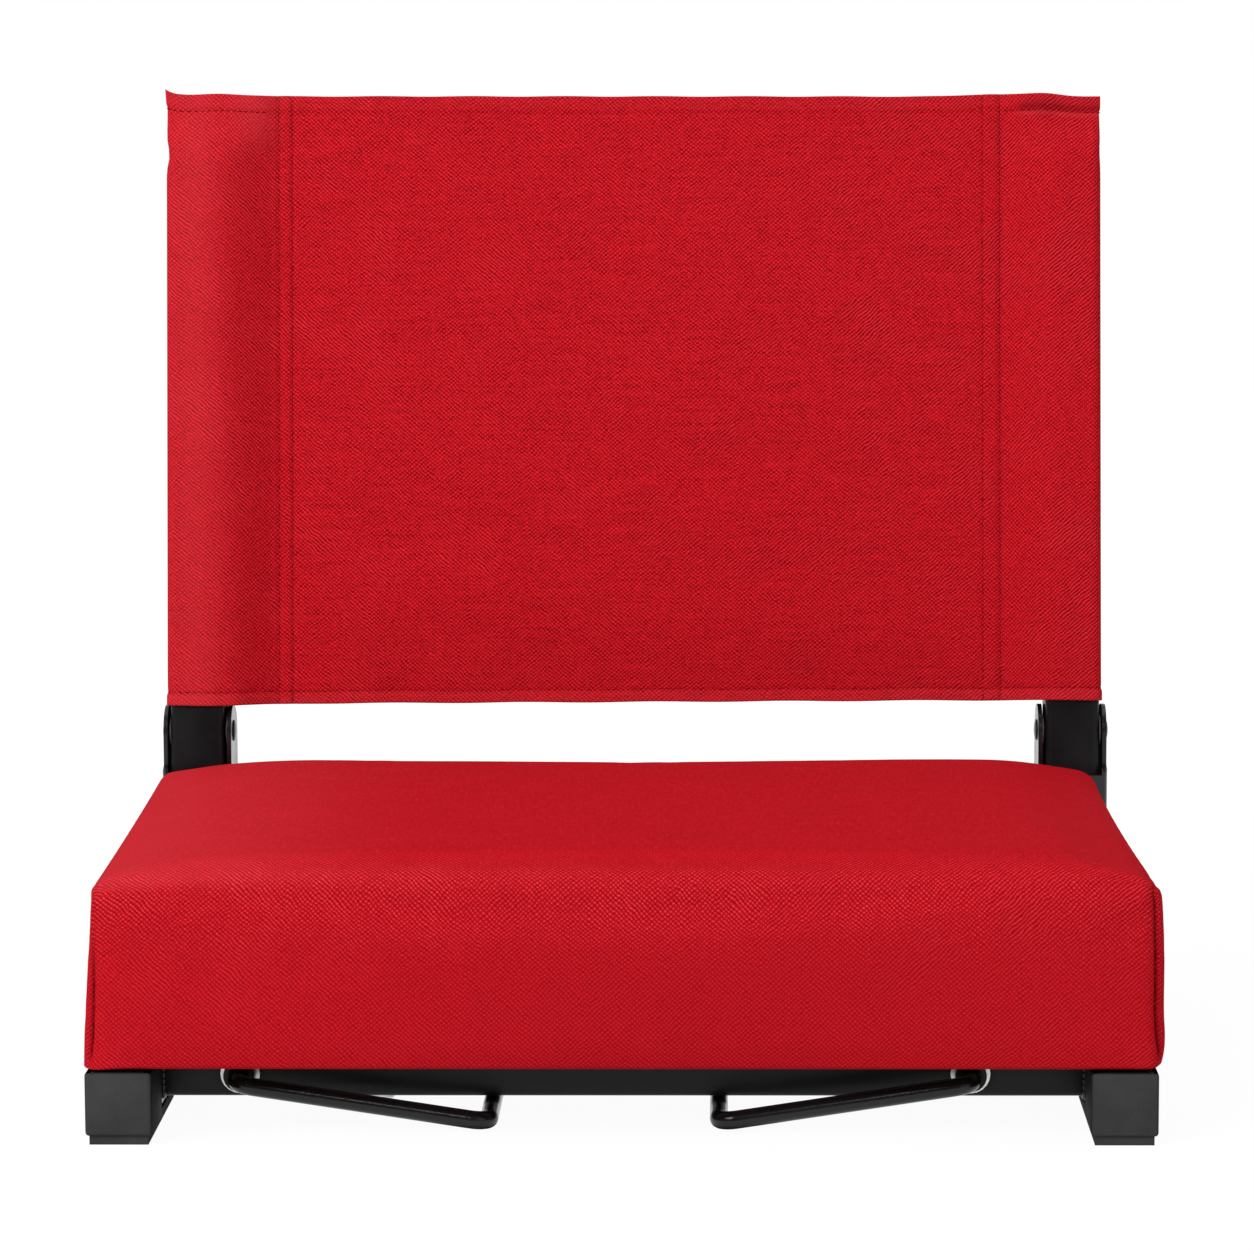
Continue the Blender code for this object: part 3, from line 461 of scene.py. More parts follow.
    # Painted shade between the threads, then the pale colour of painted highlights and lint over it.
    colour = blend_colour(tree, share, tuple(finish.cloth_shade), tuple(finish.cloth))
    colour = blend_colour(tree, pale, colour, tuple(finish.cloth_highlight_and_lint))
    # Painted shade from the point values, blended towards a darker copy of the thread gap colour.
    sewn = product(tree, sewn, ramp(tree, grain, 0.0, 1.0, 0.55, 1.35), clamp=True)
    dark = scaled(finish.cloth_shade, 0.30)
    height = total(tree, product(tree, crossing, depth), product(tree, weft_slub, 0.6 * slub))
    set_inputs(tree, shader, {
        "Base Color": blend_colour(tree, sewn, colour, dark),
        "Roughness": spread(tree, weft_slub, 0.78, 0.92),
        "Specular IOR Level": 0.015,
        "Normal": bumped(tree, height, 0.00022, 0.55),
    })
    return material


def thread_material(finish):
    """Twisted sewing thread: fine slanted ribs across noise."""
    material, tree, shader = new_material("sewing_thread_finish")
    place = object_coords(tree)
    ribs = {"Vector": place, "Scale": 900.0, "Distortion": 2.0, "Detail": 1.0}
    twist = add_node(tree, "ShaderNodeTexWave", ribs).outputs["Fac"]
    share = total(tree, product(tree, twist, 0.5), product(tree, noise(tree, place, 400.0), 0.5))
    # The thread's colour is painted shade of the needle holes and stitch dents, darker than the cloth.
    dark = scaled(finish.thread, 0.55)
    set_inputs(tree, shader, {
        "Base Color": blend_colour(tree, share, dark, tuple(finish.thread)),
        "Roughness": 0.75,
        "Specular IOR Level": 0.03,
        "Normal": bumped(tree, twist, 0.0001, 0.4),
    })
    return material


def coat_material(finish, name, gloss, shine):
    """Powder coat: orange peel in the surface, cloudy gloss, rubbed scuffs in drawn streaks, and less shine
    in narrow gaps.
    """
    material, tree, shader = new_material(name)
    place = object_coords(tree)
    peel = noise(tree, place, 900.0, 2.0, 0.45)
    cloud = noise(tree, place, 38.0, 3.0, 0.6)
    scuff = ramp(tree, drawn_noise(tree, place, (420.0, 60.0, 420.0), 4.0, 0.65), 0.62, 0.80, 0.0, 1.0)
    pale = scaled(finish.steel, 2.3)
    colour = blend_colour(tree, spread(tree, cloud, 0.0, 0.5), tuple(finish.steel), pale)
    rough = total(tree, spread(tree, cloud, gloss, gloss + 0.10), product(tree, scuff, 0.12))
    gap = add_node(tree, "ShaderNodeAmbientOcclusion", {"Distance": 0.006}, samples=4).outputs["AO"]
    set_inputs(tree, shader, {
        "Base Color": blend_colour(tree, product(tree, scuff, 0.20), colour, (0.035, 0.035, 0.035)),
        "Roughness": calc(tree, "MAXIMUM", rough, ramp(tree, gap, 0.35, 0.80, 1.0, 0.0)),
        "Specular IOR Level": ramp(tree, gap, 0.35, 0.85, 0.05 * shine, shine),
        "Normal": bumped(tree, peel, 0.00012, 0.35, softened(tree, 0.0006)),
    })
    return material


def plastic_material(name, colour, rough, grain, shine=0.22, sides=1.0):
    """Moulded plastic: fine leather of small pits under cloudy dust. Where sides is below one, the dust
    lies only on the faces towards front and rear, and the other faces get painted shade: their colour
    scaled by sides."""
    material, tree, shader = new_material(name)
    place = object_coords(tree)
    pits = add_node(tree, "ShaderNodeTexVoronoi", {"Vector": place, "Scale": grain}).outputs["Distance"]
    cloud = noise(tree, place, 55.0, 4.0, 0.6)
    share = total(tree, spread(tree, cloud, 0.0, 0.7), product(tree, pits, 0.3), clamp=True)
    dust_and_side_shade = blend_colour(tree, share, colour, scaled(colour, 1.55))
    # Painted shade on the faces that turn away from front and rear.
    if sides < 1.0:
        toward = ramp(tree, calc(tree, "ABSOLUTE", facing(tree, "Y")), 0.3, 0.8, 0.0, 1.0)
        dust_and_side_shade = blend_colour(tree, toward, scaled(colour, sides), dust_and_side_shade)
    set_inputs(tree, shader, {
        "Base Color": dust_and_side_shade,
        "Roughness": spread(tree, cloud, rough, rough + 0.14),
        "Specular IOR Level": shine,
        "Normal": bumped(tree, pits, 0.00008, 0.4, softened(tree, 0.0007)),
    })
    return material


def zinc_material():
    """Plated steel: pale metal with spangled clouds and fine drawn lines."""
    material, tree, shader = new_material("zinc_plated_steel_finish")
    place = object_coords(tree)
    cells = add_node(tree, "ShaderNodeTexVoronoi", {"Vector": place, "Scale": 420.0}).outputs["Color"]
    lines = drawn_noise(tree, place, (1800.0, 200.0, 1800.0))
    cloud = noise(tree, place, 160.0, 3.0)
    colour = blend_colour(tree, spread(tree, cloud, 0.0, 1.0), (0.56, 0.56, 0.55), (0.74, 0.74, 0.72))
    set_inputs(tree, shader, {
        "Base Color": blend_colour(tree, 0.12, colour, cells, "SOFT_LIGHT"),
        "Metallic": 1.0,
        "Roughness": spread(tree, lines, 0.24, 0.42),
        "Normal": bumped(tree, lines, 0.00004, 0.35, softened(tree, 0.0004)),
    })
    return material


def plywood_material():
    """Birch ply: long wavering grain on the faces and dark glue lines between plies on the edges."""
    material, tree, shader = new_material("plywood_finish")
    place = object_coords(tree)
    waver = drawn_noise(tree, place, (7.0, 60.0, 60.0), 4.0, 0.6)
    grain = drawn_noise(tree, place, (18.0, 700.0, 700.0), 3.0, 0.6)
    plies = calc(tree, "SINE", product(tree, axis_part(tree, place, "Z"), TURN / 0.0018))
    share = total(tree, product(tree, waver, 0.6), product(tree, grain, 0.4))
    colour = blend_colour(tree, spread(tree, share, 0.0, 1.0), (0.40, 0.25, 0.12), (0.62, 0.45, 0.27))
    level = calc(tree, "ABSOLUTE", facing(tree, "Z"))
    edge = product(tree, calc(tree, "LESS_THAN", level, 0.5), ramp(tree, plies, 0.2, 0.9, 0.0, 0.6))
    set_inputs(tree, shader, {
        "Base Color": blend_colour(tree, edge, colour, (0.16, 0.08, 0.035)),
        "Roughness": spread(tree, grain, 0.55, 0.75),
        "Normal": bumped(tree, grain, 0.0002, 0.4),
    })
    return material


def finish_for(slot):
    """The finish of a record slot, made on first use."""
    finish = bpy.context.scene.stadium_chair.finish
    name = f"{slot}_finish"
    boot = tuple(finish.boot)
    makers = {
        "black_powder_coat": lambda: coat_material(finish, name, gloss=0.27, shine=0.20),
        "hook_coat": lambda: coat_material(finish, name, gloss=0.13, shine=0.33),
        "bracket_coat": lambda: coat_material(finish, name, gloss=0.17, shine=0.45),
        # The boots' sides get painted shade.
        "dark_grey_plastic": lambda: plastic_material(name, boot, 0.66, 1500.0, shine=0.05, sides=0.16),
        "black_plastic": lambda: plastic_material(name, (0.018, 0.018, 0.019), 0.45, 1800.0),
        "pale_nylon": lambda: plastic_material(name, (0.60, 0.60, 0.57), 0.40, 2200.0),
        "zinc_plated_steel": zinc_material,
        "plywood": plywood_material,
        "red_woven_polyester": lambda: cloth_material(finish, name, slub=0.65, depth=0.60, lint=0.0),
        "seat_cloth": lambda: cloth_material(finish, name, slub=0.18, depth=0.32, lint=0.08),
        "sewing_thread": lambda: thread_material(finish),
    }
    return bpy.data.materials.get(name) or makers[slot]()


def stations(low, high, soft_low, soft_high, step):
    """Places along one direction of a box: close together over the soft edges at its ends, even between
    them."""
    count = max(2, math.ceil((high - low - soft_low - soft_high) / step) + 1)
    first = np.linspace(low, low + soft_low, EDGE_STEPS + 1)[:-1]
    last = np.linspace(high - soft_high, high, EDGE_STEPS + 1)[1:]
    return np.concatenate([first, np.linspace(low + soft_low, high - soft_high, count), last])


def edge_radii(seat, points, low, high):
    """Edge radii along x, y and z for each box point, at the low and at the high faces. The left side's
    radius falls from its full size at the bottom to a crisp edge at the top, and the right side's only near
    its ends. The lower edge is square at the left end and round at the right."""
    level = (points[..., 2] - low[2]) / (high[2] - low[2])
    share = points[..., 0] / high[0]
    left = seat.edge * (1.0 - 0.72 * eased(level, 0.1, 0.95))
    right = seat.edge * (0.40 + 0.62 * eased(level, 0.0, 0.26) - 0.22 * eased(level, 0.85, 1.0))
    under = seat.bottom_edge * (1.0 - 0.75 * eased(-share, 0.92, 0.99) + 0.8 * eased(share, 0.970, 1.0))
    plain = np.full_like(level, seat.edge)
    return np.stack([left, plain, under], axis=-1), np.stack([right, plain, plain], axis=-1)


def round_box(points, low, high, soft_low, soft_high):
    """Box points to a box with round edges: each point goes back to the box shrunk by the edge radii, and out
    again by one radius along its direction, measured in radii."""
    core = np.clip(points, low + soft_low, high - soft_high)
    reach = np.where(points > (low + high) / 2, soft_high, soft_low)
    out = (points - core) / reach
    return core + reach * out / np.linalg.norm(out, axis=-1, keepdims=True)


def arc_run(away, radius):
    """Distance along the surface from a box edge, for a distance from it along the box: an eighth of a
    circle over the first radius, then straight."""
    bend = radius * (math.pi / 4 - np.arctan2(np.clip(radius - away, 0.0, None), radius))
    return bend + np.clip(away - radius, 0.0, None)


def seat_form(points, low, high, seat, slack=0.0):
    """Box points to the seat's form. The top rises by crown (1 - a^n)(1 - 0.1 b^2), where a and b are the
    shares across and back and n is 8 on the left and 12 on the right. In proportion to the height, the
    sides taper, draw in between the corners, and turn by the twist, to the right in front and to the left
    behind. The left side also leans out behind and bulges between its corners. The right side bulges at mid
    height and has a small swelling near its foot. Slack lowers the crown and draws the sides in further."""
    crown = seat.crown - 0.3 * slack
    draw_in = seat.draw_in + slack
    middle = (low + high) / 2
    half = (high - low) / 2
    a = (points[..., 0] - middle[0]) / half[0]
    b = (points[..., 1] - middle[1]) / half[1]
    level = (points[..., 2] - low[2]) / (high[2] - low[2])
    flat = 1 - by_side(a, a**8, a**12)
    z = low[2] + level * (high[2] - low[2] + crown * flat * (1 - 0.1 * b**2))
    x = a * (half[0] - seat.taper * level - draw_in * level * (1 - b**2)) - seat.twist * level * b
    x = x - level * (LEFT_LEAN * (1 + b) + LEFT_BULGE * (1 - b**2)) * (1 - a) / 2
    foot = RIGHT_FOOT * eased(level, 0.0, 0.06) * (1 - eased(level, 0.10, 0.35))
    x = x + (RIGHT_BULGE * level * (1 - level) + foot) * (1 + a) / 2
    y = middle[1] + b * (half[1] - draw_in * level * (1 - a**2))
    return np.stack([x, y, z], axis=-1)


def filled(obj, held, pressure, limit, ticks=20):
    """Points of a cover after cloth has been pushed out from inside, held at some points. A point that
    travels d ends limit tanh(d / limit) from where it began."""
    count = len(obj.data.vertices)
    before = np.empty(3 * count, dtype=np.float32)
    obj.data.vertices.foreach_get("co", before)
    group = obj.vertex_groups.new(name="held")
    group.add(np.flatnonzero(held).tolist(), 1.0, "REPLACE")
    cloth = obj.modifiers.new("filling", "CLOTH")
    cloth.settings.quality = 6
    cloth.settings.mass = 0.2
    cloth.settings.tension_stiffness = 18.0
    cloth.settings.compression_stiffness = 18.0
    cloth.settings.shear_stiffness = 8.0
    cloth.settings.bending_stiffness = 0.6
    cloth.settings.vertex_group_mass = group.name
    cloth.settings.use_pressure = True
    cloth.settings.uniform_pressure_force = pressure
    cloth.settings.effector_weights.gravity = 0.0
    cloth.point_cache.frame_start = 1
    cloth.point_cache.frame_end = ticks
    for tick in range(1, ticks + 1):
        bpy.context.scene.frame_set(tick)
    graph = bpy.context.evaluated_depsgraph_get()
    after = np.empty(3 * count, dtype=np.float32)
    obj.evaluated_get(graph).data.vertices.foreach_get("co", after)
    obj.modifiers.remove(cloth)
    obj.vertex_groups.remove(group)
    bpy.context.scene.frame_set(1)
    before = before.reshape(-1, 3).astype(float)
    travel = after.reshape(-1, 3) - before
    length = np.linalg.norm(travel, axis=1, keepdims=True)
    return before + travel * limit * np.tanh(length / limit) / np.maximum(length, 1e-9)


def seat_panels(seat, low, high):
    """The cover's panels on the box, as (points, quads, UVs, distance from the sewn edges): one band over
    front, top and rear, and two side panels. Also returns the places across and back."""
    across = stations(low[0], high[0], seat.edge, seat.edge, seat.spacing)
    back = stations(low[1], high[1], seat.edge, seat.edge, seat.spacing)
    up = stations(low[2], high[2], seat.bottom_edge, seat.edge, seat.spacing)
    width = arc_run(high[0], seat.edge)
    depth = arc_run(high[1] - low[1] - seat.edge, seat.edge) + seat.edge * math.pi / 4
    u_across = np.sign(across) * (width - arc_run(high[0] - np.abs(across), seat.edge))
    from_front = arc_run(back - low[1], seat.edge)
    v_back = np.where(back < (low[1] + high[1]) / 2, from_front, depth - arc_run(high[1] - back, seat.edge))
    down = arc_run(high[2] - up, seat.edge)
    sewn_across = arc_run(high[0] - np.abs(across), seat.edge)
    sewn_back = np.minimum(from_front, arc_run(high[1] - back, seat.edge))
    panels = []

    def panel(first, second, place, uv, sewn, flip):
        s, t = np.meshgrid(first, second, indexing="ij")
        box = place(s, t)
        quads = lattice(len(first), len(second))
        panels.append((
            round_box(box, low, high, *edge_radii(seat, box, low, high)).reshape(-1, 3),
            quads[:, ::-1] if flip else quads,
            np.stack(np.meshgrid(*uv, indexing="ij"), axis=-1).reshape(-1, 2),
            sewn.reshape(-1),
        ))

    wide = np.broadcast_to
    spot = lambda x, y, z: np.stack(np.broadcast_arrays(x, y, z), axis=-1)
    panel(up, across, lambda s, t: spot(t, low[1], s), (-down, u_across),
          wide(sewn_across, (len(up), len(across))), False)
    panel(back, across, lambda s, t: spot(t, s, high[2]), (v_back, u_across),
          wide(sewn_across, (len(back), len(across))), False)
    panel(up, across, lambda s, t: spot(t, high[1], s), (depth + down, u_across),
          wide(sewn_across, (len(up), len(across))), True)
    sewn_side = np.minimum(down[:, None], sewn_back[None, :])
    for side in (-1, 1):
        panel(up, back, lambda s, t: spot(side * high[0], t, s), (-down, v_back), sewn_side, side < 0)
    return panels, across, back


def hem_ring(seat, low, high, across, back):
    """The cover under the board: the box's bottom lattice without the opening, and round the opening a lip,
    the opening's outline raised to the board."""
    s, t = np.meshgrid(back, across, indexing="ij")
    flat = np.stack([t, s, np.full_like(s, low[2])], axis=-1).reshape(-1, 3)
    rounded = round_box(flat, low, high, *edge_radii(seat, flat, low, high))
    middle = (low + high) / 2
    half = (high - low) / 2 - seat.hem
    index = np.arange(len(flat)).reshape(s.shape)
    columns = np.flatnonzero(np.abs(across[:-1] + across[1:]) / 2 < half[0])
    rows = np.flatnonzero(np.abs((back[:-1] + back[1:]) / 2 - middle[1]) < half[1])
    inside = np.zeros((len(back) - 1, len(across) - 1), dtype=bool)
    inside[rows[0]:rows[-1] + 1, columns[0]:columns[-1] + 1] = True
    quads = lattice(len(back), len(across))[~inside.reshape(-1), ::-1]
    front, rear = rows[0], rows[-1] + 1
    left, right = columns[0], columns[-1] + 1
    outline = np.concatenate([
        index[front, left:right],
        index[front:rear, right],
        index[rear, right:left:-1],
        index[rear:front:-1, left],
    ])
    raised = rounded[outline] + np.array([0.0, 0.0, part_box("seat_board")[0][2] - low[2]])
    upper = len(flat) + np.arange(len(outline))
    lip = np.stack([np.roll(outline, -1), outline, upper, np.roll(upper, -1)], axis=-1)
    uvs = flat[:, [1, 0]]
    points = np.concatenate([rounded, raised])
    return points, np.concatenate([quads, lip]), np.concatenate([uvs, uvs[outline]]), np.ones(len(points))


def seat_shading(points, sewn, low, high):
    """Four values for each box point, from its distance to the sewn edges. Shown is how far a sewn edge
    shows: the left ones fade above the middle, and the right ones along the top and at its front corner.
    The second is painted shade: dark along a shown edge and on the hem's underside, and faint low on the
    front. The third is painted light: the top paler at its left, and a painted highlight along its front
    edge. The fourth is the painted highlight of proud threads, rising up the front to the top edge."""
    across, back, up = points.T
    level = (up - low[2]) / (high[2] - low[2])
    share = across / high[0]
    behind = eased(back, low[1] + 0.012, low[1] + 0.045) * eased(level, 0.75, 0.95)
    left = 1.0 - 0.85 * eased(level, 0.45, 0.75)
    right = (1.0 - 0.9 * behind) * (1.0 - 0.75 * eased(level, 0.90, 0.98))
    shown = by_side(across, left, right)
    # Painted shade in the groove along each shown sewn edge.
    seams = 0.85 * shown * hill(sewn, 0.0, 0.0010) * (up > low[2] + 0.004)
    # Painted shade on the hem's underside beneath the board.
    inset = np.minimum(high[0] - np.abs(across), np.minimum(back - low[1], high[1] - back))
    underside_shade = 0.85 * eased(inset, 0.004, 0.008) * (up < low[2] + 0.0005)
    front = hill(back, low[1], 0.012)
    # Faint painted shade low on the front, towards the middle and right.
    low_shade = 0.10 * front * (1.0 - eased(level, 0.35, 1.0)) * hill(share, 0.15, 0.70)
    # Painted light on the top's left, and a painted highlight along its front edge.
    edge = hill(back, low[1], 0.006) * hill(up, high[2], 0.006)
    worn = 0.19 * eased(-share, 0.35, 0.95) * eased(level, 0.9, 1.0)
    worn = worn + 0.05 * edge * (1.0 - eased(share, -0.6, 0.6))
    # Painted highlight of the proud threads up the front to the top edge.
    crisp = front * eased(up, high[2] - 0.045, high[2] - 0.002) * (1.0 - 0.2 * eased(share, -0.2, 0.9))
    return shown, np.maximum(np.maximum(seams, underside_shade), low_shade), worn, crisp


def seam_relief(seat, points, sewn, shown, low):
    """How far each point is pushed out beside the sewn edges: a groove on the edge, a soft hill 6 mm from
    it, and gathers of two waves along it, all fading into the lower edge."""
    along = points[:, 1] + points[:, 2]
    gather = np.sin(TURN * along / 0.0095) + 0.6 * np.sin(TURN * along / 0.0148 + 1.3)
    groove = -seat.seam_depth * shown * hill(sewn, 0.0, seat.seam_width)
    puff = 0.0004 * shown * hill(sewn, 0.006, 0.004)
    small = seat.pucker * gather * hill(sewn, 0.0, 0.006) * np.clip(sewn / 0.002, 0.0, 1.0)
    return (groove + puff + small) * np.clip((points[:, 2] - low[2]) / 0.012, 0.0, 1.0)


class CHAIR_OT_seat_cushion(bpy.types.Operator):
    """Make the padded seat: a woven cover filled by cloth, with sewn side panels and a hem under the board"""

    bl_idname = "stadium_chair.seat_cushion"
    bl_label = "Seat Cushion"

    def execute(self, context):
        seat = context.scene.stadium_chair.seat
        low = SEAT_LOW.copy()
        high = SEAT_HIGH.copy()
        high[2] -= seat.crown
        panels, across, back = seat_panels(seat, low, high)
        panels.append(hem_ring(seat, low, high, across, back))
        starts = np.cumsum([0] + [len(panel[0]) for panel in panels[:-1]])
        points = np.concatenate([panel[0] for panel in panels])
        quads = np.concatenate([panel[1] + start for panel, start in zip(panels, starts)])
        uvs = np.concatenate([panel[2] for panel in panels])[quads.ravel()][:, ::-1]
        sewn = np.concatenate([panel[3] for panel in panels])
        points, quads, kept = welded(points, quads)
        sewn = sewn[kept]
        # Painted shade, painted light and painted edge highlights for the cloth's colour.
        shown, shade, worn, crisp = seat_shading(points, sewn, low, high)
        loose = seat_form(points, low, high, seat, seat.slack)
        cushion = mesh_piece("seat_cushion", loose, quads, uvs, seam_shade=shade, worn=worn, crisp=crisp)
        held = (sewn < 1e-6) | (points[:, 2] < low[2] + 0.004)
        shaped = filled(cushion, held, seat.pressure, seat.swell)
        self.place(cushion, shaped)
        normals = np.empty(3 * len(shaped), dtype=np.float32)
        cushion.data.vertex_normals.foreach_get("vector", normals)
        push = seam_relief(seat, shaped, sewn, shown, low)
        self.place(cushion, shaped + normals.reshape(-1, 3) * push[:, None])
        smooth = cushion.modifiers.new("smooth", "SUBSURF")
        smooth.levels = smooth.render_levels = 1
        finish_piece(
            cushion, finish_for("seat_cloth"), "base", "red_woven_polyester", "seat_cover", "seat_foam"
        )
        return {"FINISHED"}

    def place(self, cushion, points):
        """Move the cushion's points."""
        cushion.data.vertices.foreach_set("co", points.astype(np.float32).ravel())
        cushion.data.update()


def filleted(corners, radii, arc_points=ARC_POINTS):
    """Points along a polyline whose corners are replaced by arcs that touch both sides."""
    corners = np.array(corners, dtype=float)
    run = [corners[:1]]
    for before, corner, after, radius in zip(corners, corners[1:], corners[2:], radii[1:]):
        into = (corner - before) / np.linalg.norm(corner - before)
        out = (after - corner) / np.linalg.norm(after - corner)
        turn = math.acos(np.clip(into @ out, -1.0, 1.0))
        back = radius * math.tan(turn / 2)
        hand = np.sign(into[0] * out[1] - into[1] * out[0])
        centre = corner - back * into + radius * hand * np.array([-into[1], into[0]])
        angle = np.linspace(0.0, turn, arc_points)[:, None]
        spoke = -hand * np.array([-into[1], into[0]])
        run.append(centre + radius * (np.cos(angle) * spoke + np.sin(angle) * into))
    run.append(corners[-1:])
    return np.concatenate(run)


def sling_outline(sling):
    """The cloth's path seen along the posts: from the left back flap round the left post, across the front,
    round the right post to the right back flap. A layer lies 0.8 mm from the middle, a sleeve opens 1.4 mm
    outside its outer stitch line, and a flap ends 3 mm inside the inner one. Returns the points and their
    distance along the path."""
    layer = 0.0008
    mouth = 0.0014
    flap = 0.0030
    half = sling.sleeve
    outer = POST_X + half
    inner = POST_X - half
    left = sling.left_seam + mouth
    right = sling.right_seam + mouth
    left_end = sling.left_seam - sling.left_welt - flap
    right_end = sling.right_seam - sling.right_welt - flap
    corners = [
        (-left_end, layer), (-left, layer), (-inner, half), (-outer, half), (-outer, -half), (-inner, -half),
        (-left, -layer), (right, -layer), (inner, -half), (outer, -half), (outer, half), (inner, half),
        (right, layer), (right_end, layer),
    ]
    radii = [0.0, 0.006, 0.008, 0.0045, 0.0045, 0.034, 0.014, 0.014, 0.034, 0.0045, 0.0045, 0.008, 0.006, 0.0]
    path = filleted(corners, radii)
    return path, run_length(path)


def sling_surface(sling, path, run, s, up):
    """The sling at distance s along its path and height up, in the leaning frame. The sleeves close over
    the post ends towards the sewn top, the hems and welts are raised, the stitch lines sink in, and the
    panel waves. The upper edge rises in crests at the sleeves, and the lower edge sags."""
    across = np.interp(s, run, path[:, 0])
    behind = np.interp(s, run, path[:, 1])
    step = 0.0004
    ahead = [np.interp(s + step, run, path[:, k]) - np.interp(s - step, run, path[:, k]) for k in (0, 1)]
    ahead = np.stack(ahead)
    ahead = ahead / np.maximum(np.linalg.norm(ahead, axis=0), 1e-12)
    out = np.stack([ahead[1], -ahead[0]])
    front = behind < 0.0
    from_top = sling.high - up
    from_low = up - sling.low
    hand = np.sign(across)
    side = eased(np.abs(across), sling.left_seam, POST_X)
    close = eased(from_top, sling.top_hem - 0.001, 0.0290)
    behind = behind * (1 - side * (1 - close) * 0.88)
    dent = by_side(hand, 0.0014, 0.0004) * hill(from_top, 0.0275, 0.0050)
    flare = by_side(hand, 0.0012, 0.0002) * np.exp(-from_top / 0.012)
    slack = eased(np.abs(across), POST_X, POST_X + sling.sleeve)
    across = across + hand * slack * (flare - dent + by_side(hand, 0.0006, 0.0))
    seam = by_side(hand, sling.left_seam, sling.right_seam)
    welt = by_side(hand, sling.left_welt, sling.right_welt)
    inset = seam - np.abs(across)
    lines = hill(inset, 0.0, LINE_WIDTH) + hill(inset, welt, LINE_WIDTH)
    raised = eased(inset, -0.0010, 0.0004) * (1 - eased(inset, welt - 0.0004, welt + 0.0010))
    hems = hill(from_top, sling.top_hem, LINE_WIDTH) + hill(from_low, sling.bottom_hem, LINE_WIDTH)
    edge = 1 - eased(from_top, sling.top_hem, sling.top_hem + 0.0016)
    edge = edge + 1 - eased(from_low, sling.bottom_hem, sling.bottom_hem + 0.0016)
    gather = np.sin(TURN * across / 0.0125) + 0.6 * np.sin(TURN * across / 0.0205 + 0.7)
    gather = gather * (hill(from_low, sling.bottom_hem, 0.006) + 0.6 * hill(from_top, sling.top_hem, 0.005))
    tug = np.sin(TURN * up / 0.0135 + 2.0 * hand) + 0.7 * np.sin(TURN * up / 0.031)
    tug = tug * (hill(inset, 0.0, 0.006) + hill(inset, welt, 0.006))
    panel = 1 - eased(np.abs(across), 0.125, sling.left_seam - 0.006)
    wave = np.sin(TURN * (up / 0.047 + across / 0.52))
    wave = wave + 0.7 * np.sin(TURN * (up / 0.071 - across / 0.37) + 1.1)
    wave = wave * panel * (0.4 + 0.6 * eased(from_top, 0.10, 0.24))
    lift = WELT_RISE * raised - STITCH_SINK * lines + HEM_RISE * edge - HEM_SINK * hems
    lift = lift + GATHER_RISE * gather + TUG_RISE * tug + WAVE_RISE * wave
    across = across + out[0] * lift
    behind = behind + np.where(front, out[1] * lift, 0.4 * out[1] * lift)
    crest = 0.0021 * np.exp(-(across + POST_X + sling.sleeve) / 0.0045)
    for height, place, width in CRESTS:
        crest = crest + height * hill(across, place, width)
    crest = crest + 0.00015 * np.sin(TURN * across / 0.043) + 0.0001 - 0.0042 * across
    sag = 0.0006 + 0.0035 * across - 0.0007 * hill(across, -0.190, 0.026)
    sag = sag + 0.0002 * np.sin(TURN * across / 0.061 + 0.6)
    rise = up + crest * eased(up, sling.high - 0.030, sling.high) + sag * (1 - eased(from_low, 0.0, 0.030))
    return np.stack([across, behind, rise], axis=-1)


def sling_shade(sling, path, run, s, up):
    """Two values from 0 to 1. The first is painted shade: hills across the stitch lines, a band in the right
    sleeve's top hem and a strip over the lower hem. The second is painted light: hills along the left
    sleeve's front, under that band and on the left sleeve's flat upper end, and both hems."""
    across = np.interp(s, run, path[:, 0])
    front = np.interp(s, run, path[:, 1]) < 0.0
    seam = by_side(across, sling.left_seam, sling.right_seam)
    welt = by_side(across, sling.left_welt, sling.right_welt)
    inset = seam - np.abs(across)
    from_top = sling.high - up
    from_low = up - sling.low
    # Painted shade along the upright stitch lines and the hem stitch lines.
    upright = 0.24 * hill(inset, 0.0, LINE_WIDTH) + 0.22 * hill(inset, welt, 0.0006)
    level = 0.05 * hill(from_top, sling.top_hem, 0.0007) + 0.22 * hill(from_low, sling.bottom_hem, 0.0008)
    right = eased(across, sling.right_seam + 0.004, sling.right_seam + 0.012)
    # Painted shade in a band in the right sleeve's top hem.
    band = 0.42 * right * hill(from_top, 0.0058, 0.0021)
    # Painted shade over a strip above the lower hem, on the front between the sleeves.
    low_shade = eased(from_low, sling.bottom_hem, sling.bottom_hem + 0.004) * (1 - eased(from_low, 0.012, 0.055))
    low_shade = 0.06 * front * low_shade * (1 - eased(np.abs(across), 0.12, sling.left_seam))
    # Painted light on both hems, along the left sleeve's front, under the band and on the left sleeve's flat
    # upper end.
    hems = 0.11 * (1 - eased(from_low, 0.6 * sling.bottom_hem, sling.bottom_hem))
    hems = hems + 0.04 * (1 - eased(from_top, 0.6 * sling.top_hem, sling.top_hem))
    worn = 0.17 * front * hill(across, -POST_X - 0.002, 0.014)
    worn = worn + 0.22 * right * hill(from_top, 0.0088, LINE_WIDTH)
    worn = worn + front * (hems + 0.20 * hill(across, -0.177, 0.010) * (1 - eased(from_top, 0.008, 0.034)))
    return np.clip(np.maximum(np.maximum(upright, level), np.maximum(band, low_shade)), 0.0, 1.0), worn


def leaned(points):
    """Points given across, behind and up the posts, turned by the recline about the hinge."""
    c, s = math.cos(RECLINE), math.sin(RECLINE)
    across, behind, up = np.moveaxis(points, -1, 0)
    return np.stack([across, HINGE[1] + behind * c + up * s, HINGE[2] - behind * s + up * c], axis=-1)


